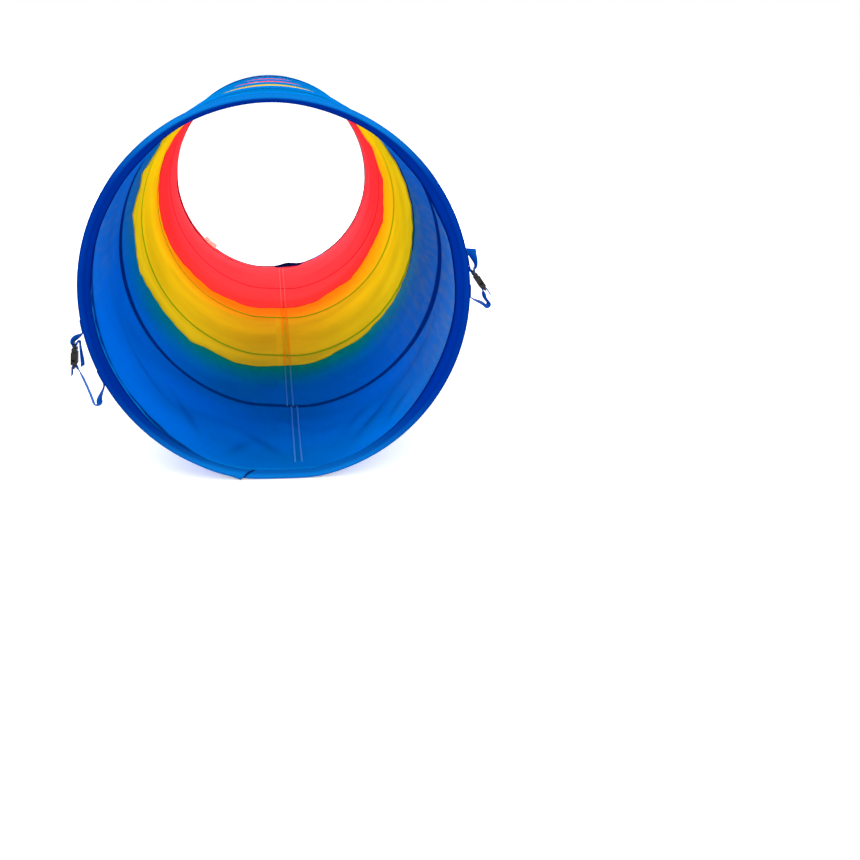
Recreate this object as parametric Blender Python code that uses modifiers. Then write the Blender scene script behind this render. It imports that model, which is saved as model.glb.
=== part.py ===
"""A pop-up crawl tunnel for children, standing open on the floor.

One long spring wire winds from mouth to mouth in a blue sleeve on the outside of three sewn
panels of nylon. Each mouth is a closed turn of the wire in a hem. Two webbing straps with
side-release buckles hang at the near mouth and hold the tunnel when it is pressed flat.

Metres, +Z up. The tunnel runs along +Y from its near mouth, with the floor at z = 0 and the
origin under the middle of its length. Angles go round the tunnel in degrees from the bottom
towards -X.
"""
import math

import bmesh
import bpy
from mathutils import Matrix, Vector

# The whole tunnel
LENGTH = 1.83
MOUTH_RADIUS = 0.2415
FOOT_WIDTH = 0.076
RING_SIDES = 24

# Cloth
CLOTH = 0.0008
CLEARANCE = 0.0003
HEM_WIDTH = 0.025
BLUE_LENGTH = 0.645
YELLOW_LENGTH = 0.580
SAG = 0.004
SAG_FADE = 0.060
PANEL_ROWS = 13
SEAM_TAPE_WIDTH = 0.010
LONG_SEAM_WIDTH = 0.012
LONG_SEAM_SIDE = 0.021
LONG_SEAM_STEP = 0.001
HEM_BENDS = 4

# Spring wire
WIRE = 0.0026
WIRE_SIDE_GAP = 0.0006
OPEN_TURNS = 5
CLOSED_TURNS = 1
RING_INSET = 0.006
CLIMB_RAMP = 0.15
FERRULE_LENGTH = 0.022
FERRULE_WALL = 0.0006
FERRULE_PLAY = 0.0007
FERRULE_SETBACK = 0.001
SLEEVE_FOOT = 0.0064
SLEEVE_CROWN = 0.0036

# Blank tab in the far hem
TAB_WIDTH = 0.038
TAB_LENGTH = 0.030
TAB_DROP = 0.012
TAB_ANGLE = 46
TAB_ASIDE = 0.010

# Webbing straps
WEBBING = 0.0012
WEBBING_WIDTH = 0.015
SEWN_END = 0.014
RETURN_LENGTH = 0.010
TAIL_RISE = 0.002
TAIL_HUMP = 0.002
TAIL_PULL = 0.026
FEED_PULL = 0.024
LOOP_PULL = 0.020
KNEE = 0.0016

# Side-release buckle
BUCKLE_RAIL = 0.0020
BUCKLE_WALL = 0.0017
BUCKLE_EDGE = 0.0009
BUCKLE_PLAY = 0.0004
BAR = 0.0020
BAR_THICKNESS = 0.0028
SLOT_PLAY = 0.0005
MOUTH_DEPTH = 0.0142
MOUTH_HEIGHT = 0.0042
GRIP_LENGTH = 0.0054
WINDOW_START = 0.0058
WINDOW_LENGTH = 0.0052
PRONG_WALL = 0.0027
PRONG_ROOT = 0.0020
SHOULDER_FLAT = 0.0028
TONGUE_WIDTH = 0.0032
TONGUE_SHORTFALL = 0.0020
TIP_WIDTH = 0.0021
OVERRUN = 0.002

# Where each strap hangs: places in degrees from the bottom towards its own side, and stand-offs from
# the ring. Leave and lean are in degrees from the hem and from upright, twist in degrees of the webbing.
LEFT_UPPER_ROOT = 79.5
LEFT_UPPER_LEAVE = 60
LEFT_LOWER_ROOT = 63.8
LEFT_LOWER_LEAVE = 10
LEFT_BUCKLE_ANGLE = 73.3
LEFT_BUCKLE_STAND_OFF = 0.0195
LEFT_BUCKLE_LEAN = 4
LEFT_LOOP_ANGLE = 59.2
LEFT_LOOP_STAND_OFF = 0.0223
LEFT_LOOP_RADIUS = 0.0037
LEFT_LOOP_LEAN = -14
LEFT_TAIL_ANGLE = 69.9
LEFT_TAIL_STAND_OFF = 0.0150
LEFT_FEED_TWIST = 28
LEFT_RISE_TWIST = 40
LEFT_TAIL_TWIST = 0
LEFT_UPPER_WRAP = 0
LEFT_LOWER_WRAP = 45
RIGHT_UPPER_ROOT = 99.4
RIGHT_UPPER_LEAVE = 5
RIGHT_LOWER_ROOT = 88.5
RIGHT_LOWER_LEAVE = 50
RIGHT_BUCKLE_ANGLE = 93.1
RIGHT_BUCKLE_STAND_OFF = 0.0114
RIGHT_BUCKLE_LEAN = 34
RIGHT_LOOP_ANGLE = 86.3
RIGHT_LOOP_STAND_OFF = 0.0225
RIGHT_LOOP_RADIUS = 0.0030
RIGHT_LOOP_LEAN = 42
RIGHT_TAIL_ANGLE = 102.3
RIGHT_TAIL_STAND_OFF = 0.0072
RIGHT_FEED_TWIST = 5
RIGHT_RISE_TWIST = 14
RIGHT_TAIL_TWIST = 45
RIGHT_UPPER_WRAP = -34
RIGHT_LOWER_WRAP = 0

# Worked out from the sizes above
FOOT_ANGLE = math.degrees(math.asin(FOOT_WIDTH / 2 / MOUTH_RADIUS))
CORNER_STEP = (360 - 2 * FOOT_ANGLE) / (RING_SIDES - 1)
AXIS_HEIGHT = MOUTH_RADIUS * math.cos(math.radians(FOOT_ANGLE))
NEAR_MOUTH = -LENGTH / 2
FAR_MOUTH = LENGTH / 2
BLUE_YELLOW = NEAR_MOUTH + BLUE_LENGTH
YELLOW_RED = BLUE_YELLOW + YELLOW_LENGTH
SEAM_MARGIN = SEAM_TAPE_WIDTH / 2 + CLEARANCE
FERRULE_HALF = WIRE / 2 + CLEARANCE + FERRULE_WALL
WIRE_RADIUS = MOUTH_RADIUS - CLOTH - CLEARANCE - FERRULE_HALF
PANEL_RADIUS = WIRE_RADIUS - FERRULE_HALF - CLEARANCE
HEM_INSIDE = PANEL_RADIUS - CLOTH
SLEEVE_BASE = PANEL_RADIUS + CLEARANCE
SLEEVE_HEIGHT = WIRE_RADIUS + WIRE / 2 + CLEARANCE + CLOTH - SLEEVE_BASE
WEBBING_TURN = math.hypot(BAR_THICKNESS, BAR) / 2 + CLEARANCE + WEBBING / 2
SLOT_WIDTH = WEBBING_WIDTH + 2 * SLOT_PLAY
SLOT_LENGTH = WEBBING_TURN + WEBBING / 2 + CLEARANCE - BAR / 2
STRAP_END_LENGTH = BAR + SLOT_LENGTH + CLEARANCE
BUCKLE_WIDTH = SLOT_WIDTH + 2 * BUCKLE_RAIL
MOUTH_WIDTH = BUCKLE_WIDTH - 2 * BUCKLE_WALL
HOUSING_THICKNESS = MOUTH_HEIGHT + 2 * BUCKLE_WALL
HOUSING_LENGTH = MOUTH_DEPTH + BUCKLE_WALL + STRAP_END_LENGTH
PLUG_THICKNESS = MOUTH_HEIGHT + BUCKLE_WALL
PLUG_LENGTH = GRIP_LENGTH + STRAP_END_LENGTH
PRONG_REACH = MOUTH_WIDTH / 2 - BUCKLE_PLAY
PRONG_THICKNESS = MOUTH_HEIGHT - 2 * BUCKLE_PLAY
PRONG_LENGTH = MOUTH_DEPTH - 2 * BUCKLE_PLAY
TONGUE_LENGTH = PRONG_LENGTH - TONGUE_SHORTFALL
SHOULDER_START = WINDOW_START + BUCKLE_PLAY
SHOULDER_REACH = BUCKLE_WIDTH / 2 - BUCKLE_PLAY
ALL_TURNS = OPEN_TURNS + 2 * CLOSED_TURNS
CLOSED_PITCH = WIRE + WIRE_SIDE_GAP
OPEN_PITCH = CLOSED_PITCH + (LENGTH - 2 * RING_INSET - ALL_TURNS * CLOSED_PITCH) / (OPEN_TURNS - CLIMB_RAMP)


# Small helpers
def paint(red, green, blue):
    """A colour given as it looks on a screen, 0 to 255, in the linear values that shaders use."""
    return [*(math.pow(value / 255, 2.2) for value in (red, green, blue)), 1]


def material(name, colour, roughness, metallic=0):
    made = bpy.data.materials.new(name)
    made.use_nodes = True
    shader = made.node_tree.nodes["Principled BSDF"]
    shader.inputs["Base Color"].default_value = colour
    shader.inputs["Roughness"].default_value = roughness
    shader.inputs["Metallic"].default_value = metallic
    made.diffuse_color = colour
    return made


def add_object(name, data, finish, collection, place=None):
    made = bpy.data.objects.new(name, data)
    data.materials.append(finish)
    made.matrix_basis = place or Matrix.Identity(4)
    collection.objects.link(made)
    return made


def pivot(name, place):
    """An empty on a joint's axis, for the pieces that move with the joint."""
    made = bpy.data.objects.new(name, None)
    made.matrix_basis = place
    tunnel.objects.link(made)
    return made


def carry(carrier, *pieces):
    """Hangs pieces on a carrier, each where it already is."""
    for piece in pieces:
        piece.parent = carrier
        piece.matrix_parent_inverse = carrier.matrix_basis.inverted()


def shade(mesh, angle=40):
    mesh.shade_smooth()
    mesh.set_sharp_from_angle(angle=math.radians(angle))


def smooth_step(share):
    share = min(max(share, 0), 1)
    return share * share * (3 - 2 * share)


# The ring: a polygon with one wider side, the foot, flat on the floor
def side_at(angle):
    """The ends of the polygon's side that an angle falls on, as angles, and the share of the way along it."""
    turned = (angle - FOOT_ANGLE) % 360
    side = min(int(turned / CORNER_STEP), RING_SIDES - 1)
    wide = 2 * FOOT_ANGLE if side == RING_SIDES - 1 else CORNER_STEP
    share = (turned - side * CORNER_STEP) / wide
    start = angle - share * wide
    return start, start + wide, share


def direction(angle):
    turned = math.radians(angle)
    return Vector((-math.sin(turned), 0, -math.cos(turned)))


def on_ring(angle, radius):
    """A point of the polygon whose corners lie at this radius, seen from the tunnel's axis."""
    start, end, share = side_at(angle)
    return radius * direction(start).lerp(direction(end), share)


def from_axis(point, along):
    """Moves a point that is measured from the tunnel's axis to its place, at this distance along the tunnel."""
    return Vector((point.x, along, point.z + AXIS_HEIGHT))


def corner_angles():
    return [FOOT_ANGLE + corner * CORNER_STEP for corner in range(RING_SIDES)]


# The wire's climb along the tunnel
def ramp(turns):
    """The way gone in turns when a climb starts from rest and is at full rate after CLIMB_RAMP turns."""
    if turns <= 0:
        return 0
    if turns < CLIMB_RAMP:
        return turns * turns / (2 * CLIMB_RAMP)
    return turns - CLIMB_RAMP / 2


def climb(turns):
    """How far along the tunnel the wire is after so many turns: a closed turn, the open ones and a closed one."""
    opened = ramp(turns - CLOSED_TURNS) - ramp(turns - CLOSED_TURNS - OPEN_TURNS + CLIMB_RAMP)
    return NEAR_MOUTH + RING_INSET + CLOSED_PITCH * turns + (OPEN_PITCH - CLOSED_PITCH) * opened


def wire_angle(turns):
    return 360 * turns - FOOT_ANGLE


def wire_centre(turns, radius):
    """The wire runs straight from corner to corner of the ring, so its sleeve and the cloth lie along it."""
    start, end, share = side_at(wire_angle(turns))
    first, last = [(angle + FOOT_ANGLE) / 360 for angle in (start, end)]
    first, last = max(first, 0), min(last, ALL_TURNS)
    before = from_axis(radius * direction(start), climb(first))
    after = from_axis(radius * direction(end), climb(last))
    return before.lerp(after, share)


def turns_at(along):
    """The number of turns at which the wire reaches a distance along the tunnel, found by halving."""
    low, high = 0, ALL_TURNS
    while high - low > 1e-9:
        middle = (low + high) / 2
        if wire_centre(middle, WIRE_RADIUS).y < along:
            low = middle
        else:
            high = middle
    return low


def stretch(first, last):
    """The turns at both ends of a stretch of wire and at each corner between them."""
    corners = []
    for turn in range(ALL_TURNS + 1):
        corners += [turn + (angle + FOOT_ANGLE) / 360 for angle in corner_angles()]
    nearest = CLEARANCE / MOUTH_RADIUS
    inner = sorted({round(turn, 9) for turn in corners if first + nearest < turn < last - nearest})
    return [first, *inner, last]


def least_self_gap(steps_per_turn=96):
    """The least gap between parts of the wire at least a quarter of a turn apart."""
    count = int(ALL_TURNS * steps_per_turn)
    points = [wire_centre(step / steps_per_turn, WIRE_RADIUS) for step in range(count)]
    apart = steps_per_turn // 4
    furthest = steps_per_turn * 5 // 4
    least = min(
        (points[one] - points[other]).length
        for one in range(count)
        for other in range(one + apart, min(one + furthest, count))
    )
    return least - WIRE


# Meshes
def loft(name, rings, finish, collection, closed):
    """Joins rings of points, each closed and of equal count. The last ring meets the first, or both are capped."""
    shape = bmesh.new()
    rows = [[shape.verts.new(point) for point in ring] for ring in rings]
    pairs = list(zip(rows, rows[1:]))
    if closed:
        pairs.append((rows[-1], rows[0]))
    else:
        shape.faces.new(rows[0])
        shape.faces.new(rows[-1])
    for one, other in pairs:
        for place in range(len(one)):
            after = (place + 1) % len(one)
            shape.faces.new((one[place], one[after], other[after], other[place]))
    bmesh.ops.recalc_face_normals(shape, faces=shape.faces)
    mesh = bpy.data.meshes.new(name)
    shape.to_mesh(mesh)
    shape.free()
    shade(mesh)
    return add_object(name, mesh, finish, collection)


def strip(name, centres, across, thickness, finish, collection):
    """A flat strip along a line of points: an open surface with its width at each point, made thick."""
    mesh = bpy.data.meshes.new(name)
    points = [centre + way / 2 for centre, width in zip(centres, across) for way in (-width, width)]
    faces = [(2 * step, 2 * step + 1, 2 * step + 3, 2 * step + 2) for step in range(len(centres) - 1)]
    mesh.from_pydata(points, [], faces)
    shade(mesh)
    made = add_object(name, mesh, finish, collection)
    thicken = made.modifiers.new("thickness", "SOLIDIFY")
    thicken.thickness = thickness
    thicken.offset = 0
    thicken.use_even_offset = True
    return made


def block(name, size, centre, edge, place, finish, collection):
    """A box with rounded edges, at centre in the frame that place gives."""
    shape = bmesh.new()
    bmesh.ops.create_cube(shape, size=1)
    bmesh.ops.scale(shape, vec=size, verts=shape.verts)
    bmesh.ops.translate(shape, vec=centre, verts=shape.verts)
    if edge:
        bmesh.ops.bevel(
            shape, geom=shape.edges[:], offset=edge, segments=2, affect="EDGES", profile=0.5
        )
    mesh = bpy.data.meshes.new(name)
    shape.to_mesh(mesh)
    shape.free()
    shade(mesh)
    return add_object(name, mesh, finish, collection, place)


def outline(name, points, thickness, place, finish, collection):
    """A flat outline with a thickness, its curve made a closed mesh so that it can be joined and cut."""
    flat = bpy.data.curves.new(name, "CURVE")
    flat.dimensions = "2D"
    flat.fill_mode = "BOTH"
    flat.extrude = thickness / 2
    line = flat.splines.new("POLY")
    line.points.add(len(points) - 1)
    for spot, (right, up) in zip(line.points, points):
        spot.co = (right, up, 0, 1)
    line.use_cyclic_u = True
    drawn = bpy.data.objects.new(name, flat)
    collection.objects.link(drawn)
    mesh = bpy.data.meshes.new_from_object(drawn.evaluated_get(bpy.context.evaluated_depsgraph_get()))
    bpy.data.objects.remove(drawn)
    shape = bmesh.new()
    shape.from_mesh(mesh)
    bmesh.ops.remove_doubles(shape, verts=shape.verts, dist=CLEARANCE / 10)
    bmesh.ops.recalc_face_normals(shape, faces=shape.faces)
    shape.to_mesh(mesh)
    shape.free()
    shade(mesh)
    mesh.materials.clear()
    return add_object(name, mesh, finish, collection, place)


def combine(made, operation, other):
    change = made.modifiers.new(other.name, "BOOLEAN")
    change.operation = operation
    change.object = other
    other.hide_render = True
    other.display_type = "WIRE"


def bend(start, leave, end, arrive, steps=10):
    """Points on a smooth curve that leaves start along one vector and comes to end along another."""
    first, last = start + leave / 3, end - arrive / 3
    points = []
    for step in range(steps + 1):
        share = step / steps
        rest = 1 - share
        points.append(
            rest**3 * start + 3 * rest**2 * share * first + 3 * rest * share**2 * last + share**3 * end
        )
    return points


def half_turn(centre, outward, onward, radius, begin=0, steps=8):
    """Points of half a circle from one side of centre to the other, by way of onward. It may begin late."""
    points = []
    for step in range(steps + 1):
        turned = math.radians(begin + (180 - begin) * step / steps)
        points.append(centre + radius * (math.cos(turned) * outward + math.sin(turned) * onward))
    return points


# The spring wire, its ferrules and its sleeve
def make_wire(name, first, last, finish, collection):
    line = bpy.data.curves.new(name, "CURVE")
    line.dimensions = "3D"
    line.bevel_depth = WIRE / 2
    line.bevel_resolution = 1
    line.use_fill_caps = True
    turns = stretch(first, last)
    run = line.splines.new("POLY")
    run.points.add(len(turns) - 1)
    for spot, turn in zip(run.points, turns):
        spot.co = (*wire_centre(turn, WIRE_RADIUS), 1)
    return add_object(name, line, finish, collection)


def make_ferrule(name, turns, collection, finish):
    """A crimped sleeve round the wire's tip and the turn beside it, on one side of the ring."""
    beside = turns + 1 if turns < ALL_TURNS / 2 else turns - 1
    centre = (wire_centre(turns, WIRE_RADIUS) + wire_centre(beside, WIRE_RADIUS)) / 2
    start, end, _ = side_at(wire_angle(turns))
    along = (direction(end) - direction(start)).normalized()
    outward = Vector((0, 1, 0)).cross(along)
    place = Matrix.Translation(centre) @ Matrix((along, Vector((0, 1, 0)), outward)).transposed().to_4x4()
    bore = (
        FERRULE_LENGTH + 2 * OVERRUN,
        CLOSED_PITCH + WIRE + 2 * FERRULE_PLAY,
        WIRE + 2 * CLEARANCE,
    )
    size = (FERRULE_LENGTH, bore[1] + 2 * FERRULE_WALL, bore[2] + 2 * FERRULE_WALL)
    ferrule = block(name, size, (0, 0, 0), FERRULE_WALL, place, finish, collection)
    hole = block(name + "_bore", bore, (0, 0, 0), CLEARANCE, place, finish, cutters)
    combine(ferrule, "DIFFERENCE", hole)
    return ferrule


def make_sleeve(name, first, last, finish, collection):
    """A strip of cloth arched over the wire, its two edges on the panel."""
    profile = [
        (-SLEEVE_FOOT / 2, 0),
        (-SLEEVE_CROWN / 2, SLEEVE_HEIGHT),
        (SLEEVE_CROWN / 2, SLEEVE_HEIGHT),
        (SLEEVE_FOOT / 2, 0),
    ]
    mesh = bpy.data.meshes.new(name)
    turns = stretch(first, last)
    points = []
    for turn in turns:
        for aside, height in profile:
            points.append(wire_centre(turn, SLEEVE_BASE + height) + Vector((0, aside, 0)))
    wide = len(profile)
    faces = [
        (row * wide + place, row * wide + place + 1, (row + 1) * wide + place + 1, (row + 1) * wide + place)
        for row in range(len(turns) - 1)
        for place in range(wide - 1)
    ]
    mesh.from_pydata(points, [], faces)
    shade(mesh)
    made = add_object(name, mesh, finish, collection)
    thicken = made.modifiers.new("cloth", "SOLIDIFY")
    thicken.thickness = CLOTH
    thicken.offset = 1
    thicken.use_even_offset = True
    return made


# Cloth
def hem_profile(mouth, inward):
    """A hem cut along the tunnel: cloth folded round the wire, open where the panel meets it."""
    middle = (MOUTH_RADIUS + HEM_INSIDE) / 2
    deep = (MOUTH_RADIUS - HEM_INSIDE) / 2
    profile = []
    for reach, order in ((deep, 1), (deep - CLOTH, -1)):
        fold = [(HEM_WIDTH, reach)]
        for bend_number in range(HEM_BENDS + 1):
            turned = math.pi * bend_number / HEM_BENDS
            fold.append((deep - reach * math.sin(turned), reach * math.cos(turned)))
        fold.append((HEM_WIDTH, -reach))
        profile += [(mouth + inward * along, middle + out) for along, out in fold][::order]
    return profile


def make_hem(name, mouth, inward, finish, collection):
    rings = [
        [from_axis(on_ring(angle, radius), along) for angle in corner_angles()]
        for along, radius in hem_profile(mouth, inward)
    ]
    return loft(name, rings, finish, collection, closed=True)


def panel_columns():
    """The angles and inward steps of a panel's columns: the ring's corners, and the long seam on its foot."""
    half = LONG_SEAM_WIDTH / 2
    columns = [(angle, 0) for angle in corner_angles()]
    for aside, step in (
        (half, 0),
        (half - LONG_SEAM_STEP, CLOTH),
        (LONG_SEAM_STEP - half, CLOTH),
        (-half, 0),
    ):
        share = (1 - (LONG_SEAM_SIDE + aside) / (FOOT_WIDTH / 2)) / 2
        columns.append((360 - FOOT_ANGLE + share * 2 * FOOT_ANGLE, step))
    return columns


def cloth_radius(angle, along, start, end):
    """The cloth is drawn in between the wire's turns, and lies out at the wire, the hems and the seams."""
    turns = turns_by_height(along) - (angle + FOOT_ANGLE) / 360
    between = math.sin(math.pi * turns) ** 2
    free = smooth_step((min(along - start, end - along) - SEAM_MARGIN) / SAG_FADE)
    return PANEL_RADIUS - SAG * between * free


def turns_by_height(along):
    """The wire's turns at a distance along the tunnel, as if it climbed at its open pitch all the way."""
    return (along - climb(ALL_TURNS / 2)) / OPEN_PITCH + ALL_TURNS / 2


def make_panel(name, start, end, finish, collection):
    rings = []
    first, last = start + SEAM_MARGIN, end - SEAM_MARGIN
    heights = [first + (last - first) * row / PANEL_ROWS for row in range(PANEL_ROWS + 1)]
    heights = [start, *heights, end]
    for wall, rows in ((0, heights), (CLOTH, heights[::-1])):
        for along in rows:
            ring = []
            for angle, step in panel_columns():
                radius = cloth_radius(angle, along, start, end) - wall - (step if wall else 0)
                ring.append(from_axis(on_ring(angle, radius), along))
            rings.append(ring)
    return loft(name, rings, finish, collection, closed=True)


def make_seam_tape(name, along, finish, collection):
    """A binding round the inside of the seam between two panels."""
    outside = HEM_INSIDE - CLEARANCE
    rings = []
    for aside, wall in ((-0.5, 0), (0.5, 0), (0.5, CLOTH), (-0.5, CLOTH)):
        rings.append(
            [
                from_axis(on_ring(angle, outside - wall - step), along + aside * SEAM_TAPE_WIDTH)
                for angle, step in panel_columns()
            ]
        )
    return loft(name, rings, finish, collection, closed=True)


def make_tab(name, finish, collection):
    """A folded tab of cloth on the far hem's inside, its free end bent into the tunnel."""
    start, end, _ = side_at(TAB_ANGLE)
    across = (direction(end) - direction(start)).normalized()
    flat = MOUTH_RADIUS * math.cos(math.radians((end - start) / 2)) - (MOUTH_RADIUS - HEM_INSIDE)
    outward = direction((start + end) / 2)
    seat = outward * (flat - CLEARANCE - CLOTH / 2) - across * TAB_ASIDE
    edge = FAR_MOUTH - HEM_WIDTH
    held = from_axis(seat, edge + TAB_LENGTH / 3)
    free = from_axis(seat - outward * TAB_DROP, edge - TAB_LENGTH / 3)
    back = Vector((0, -TAB_LENGTH, 0))
    line = bend(held, back, free, -outward * TAB_DROP * 2)
    return strip(name, line, [across * TAB_WIDTH] * len(line), CLOTH, finish, collection)


# Straps
def at_mouth(side, angle, radius):
    """A point over the near hem's middle, at this angle towards the strap's own side."""
    return from_axis(direction(-side * angle) * radius, NEAR_MOUTH + HEM_WIDTH / 2)


def root_of(side, angle):
    """Where webbing is sewn to the hem: a point on it, the direction down along the hem, and straight out."""
    start, end, _ = side_at(-side * angle)
    outward = direction((start + end) / 2)
    down = Vector((0, side, 0)).cross(outward)
    flat = MOUTH_RADIUS * math.cos(math.radians((end - start) / 2))
    aside = flat * math.tan(math.radians(-side * angle - (start + end) / 2))
    point = outward * (flat + CLEARANCE + WEBBING / 2) + side * aside * down
    return from_axis(point, NEAR_MOUTH + HEM_WIDTH / 2), down, outward


def buckle_frame(side, angle, stand_off, leaning):
    """The buckle's own frame: x straight out of its broad face, y across, z from the housing to the plug."""
    lean = math.radians(leaning)
    upward = Vector((-side * math.sin(lean), 0, math.cos(lean)))
    outward = Vector((side * math.cos(lean), 0, math.sin(lean)))
    across = upward.cross(outward)
    middle = at_mouth(side, angle, MOUTH_RADIUS + stand_off)
    origin = middle + upward * (HOUSING_LENGTH - PLUG_LENGTH) / 2
    turn = Matrix((outward, across, upward)).transposed().to_4x4()
    return Matrix.Translation(origin) @ turn


def strap_end(owner, name, outer_end, inner_end, place, finish):
    """Gives a buckle half the thin end with a slot, and the bar that webbing goes round, at outer_end."""
    way = 1 if outer_end > inner_end else -1
    reach = OVERRUN * way
    centre = (outer_end + inner_end - reach) / 2
    size = (BAR_THICKNESS, BUCKLE_WIDTH - BUCKLE_EDGE, abs(outer_end - inner_end + reach))
    plate = block(name + "_strap_end", size, (0, 0, centre), BUCKLE_EDGE, place, finish, cutters)
    slot_centre = outer_end - way * (BAR + SLOT_LENGTH / 2)
    slot_size = (PLUG_THICKNESS + HOUSING_THICKNESS, SLOT_WIDTH, SLOT_LENGTH)
    slot = block(name + "_slot", slot_size, (0, 0, slot_centre), 0, place, finish, cutters)
    combine(owner, "UNION", plate)
    combine(owner, "DIFFERENCE", slot)


def make_housing(name, place, finish, collection):
    """The female half: a flat sleeve with a mouth for the prongs and a window at each side."""
    body_end = HOUSING_LENGTH - STRAP_END_LENGTH
    size = (HOUSING_THICKNESS, BUCKLE_WIDTH, body_end)
    housing = block(name, size, (0, 0, -body_end / 2), BUCKLE_EDGE, place, finish, collection)
    strap_end(housing, name, -HOUSING_LENGTH, -body_end, place, finish)
    mouth_size = (MOUTH_HEIGHT, MOUTH_WIDTH, MOUTH_DEPTH + OVERRUN)
    mouth_centre = (0, 0, (OVERRUN - MOUTH_DEPTH) / 2)
    mouth = block(name + "_mouth", mouth_size, mouth_centre, 0, place, finish, cutters)
    window_size = (MOUTH_HEIGHT, BUCKLE_WIDTH + 2 * OVERRUN, WINDOW_LENGTH)
    window_centre = (0, 0, -WINDOW_START - WINDOW_LENGTH / 2)
    window = block(name + "_window", window_size, window_centre, 0, place, finish, cutters)
    combine(housing, "DIFFERENCE", mouth)
    combine(housing, "DIFFERENCE", window)
    return housing


def prong_outline():
    """Half of the plug's fork as (across, along) points, from the tongue's end round a prong to its root."""
    inside = PRONG_REACH - PRONG_WALL
    return [
        (TONGUE_WIDTH / 2, -TONGUE_LENGTH),
        (TONGUE_WIDTH / 2, -PRONG_ROOT),
        ((TONGUE_WIDTH / 2 + inside) / 2, -PRONG_ROOT / 2),
        (inside, -1.5 * PRONG_ROOT),
        (inside, -SHOULDER_START),
        (inside - TIP_WIDTH / 2, -PRONG_LENGTH),
        (inside + TIP_WIDTH / 2, -PRONG_LENGTH),
        (PRONG_REACH, -SHOULDER_START - 1.5 * SHOULDER_FLAT),
        (SHOULDER_REACH, -SHOULDER_START - SHOULDER_FLAT),
        (SHOULDER_REACH, -SHOULDER_START),
        (PRONG_REACH, -SHOULDER_START),
        (PRONG_REACH, PRONG_ROOT),
    ]


def make_plug(name, place, finish, collection):
    """The male half: a grip, a tongue and two springy prongs with shoulders that catch in the windows."""
    size = (PLUG_THICKNESS, BUCKLE_WIDTH, GRIP_LENGTH - CLEARANCE)
    centre = (0, 0, (GRIP_LENGTH + CLEARANCE) / 2)
    plug = block(name, size, centre, BUCKLE_EDGE, place, finish, collection)
    half = prong_outline()
    points = half + [(-across, along) for across, along in half[::-1]]
    flat = Matrix(((0, 0, 1, 0), (1, 0, 0, 0), (0, 1, 0, 0), (0, 0, 0, 1)))
    fork = outline(name + "_fork", points, PRONG_THICKNESS, place @ flat, finish, cutters)
    combine(plug, "UNION", fork)
    strap_end(plug, name, PLUG_LENGTH, GRIP_LENGTH, place, finish)
    return plug


def leaving(side, root_angle, angle):
    """Webbing's first bend below its sewn end, and the direction it then has, this far from along the hem."""
    root, down, outward = root_of(side, root_angle)
    turned = math.radians(angle)
    away = math.cos(turned) * down + math.sin(turned) * outward
    knee = root + down * KNEE + away * KNEE
    return bend(root + down * CLEARANCE, down * 3 * KNEE, knee, away * 3 * KNEE, 4), away


def wavering(most, line):
    """Twists of a stretch of webbing: none at its two ends and most at its middle."""
    return [most * math.sin(math.pi * place / (len(line) - 1)) for place in range(len(line))]


def growing(most, line):
    """Twists of a free end of webbing, more and more towards its tip."""
    return [most * smooth_step(place / (len(line) - 1)) for place in range(len(line))]


def webbing_along(name, stretches):
    """Webbing along stretches of points, each with its twists about the line."""
    centres, twists = list(stretches[0][0]), list(stretches[0][1])
    for points, turns in stretches[1:]:
        centres += points[1:]
        twists += turns[1:]
    flat = Vector((0, 1, 0))
    widths = []
    for place, twist in enumerate(twists):
        ahead = centres[min(place + 1, len(centres) - 1)] - centres[max(place - 1, 0)]
        turned = math.radians(twist)
        width = math.cos(turned) * flat + math.sin(turned) * ahead.normalized().cross(flat)
        widths.append(width * WEBBING_WIDTH)
    return strip(name, centres, widths, WEBBING, blue_webbing, tunnel)


def arriving(onward, outward, begin):
    """The direction of a half turn where it begins."""
    turned = math.radians(begin)
    return math.cos(turned) * onward - math.sin(turned) * outward


def make_upper_webbing(label, side, place, root_angle, leave, face, tail_end, feed_twist, tail_twist, begin):
    """Webbing from the hem round the plug's bar. Its feed comes down on one face, its tail is on the other."""
    outward, _, upward = place.to_3x3().col
    start, away = leaving(side, root_angle, leave)
    bar = place.translation + upward * (PLUG_LENGTH - BAR / 2)
    wrap = half_turn(bar, face, -upward, WEBBING_TURN, begin)
    feed = bend(start[-1], away * FEED_PULL, wrap[0], arriving(-upward, face, begin) * FEED_PULL)
    stretches = [(start, wavering(0, start)), (feed, wavering(feed_twist, feed)), (wrap, wavering(0, wrap))]
    if face.dot(outward) > 0:
        raised = wrap[-1] + upward * TAIL_RISE
        hump = [wrap[-1], *half_turn(raised - face * TAIL_HUMP, face, upward, TAIL_HUMP)]
        tail = bend(hump[-1], -upward * TAIL_PULL, tail_end, -upward * TAIL_PULL)
        stretches.append((hump, wavering(0, hump)))
    else:
        tail = bend(wrap[-1], outward * TAIL_PULL, tail_end, Vector((0, 0, TAIL_PULL)))
    stretches.append((tail, growing(tail_twist, tail)))
    return webbing_along(label + "_upper_webbing", stretches)


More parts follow.
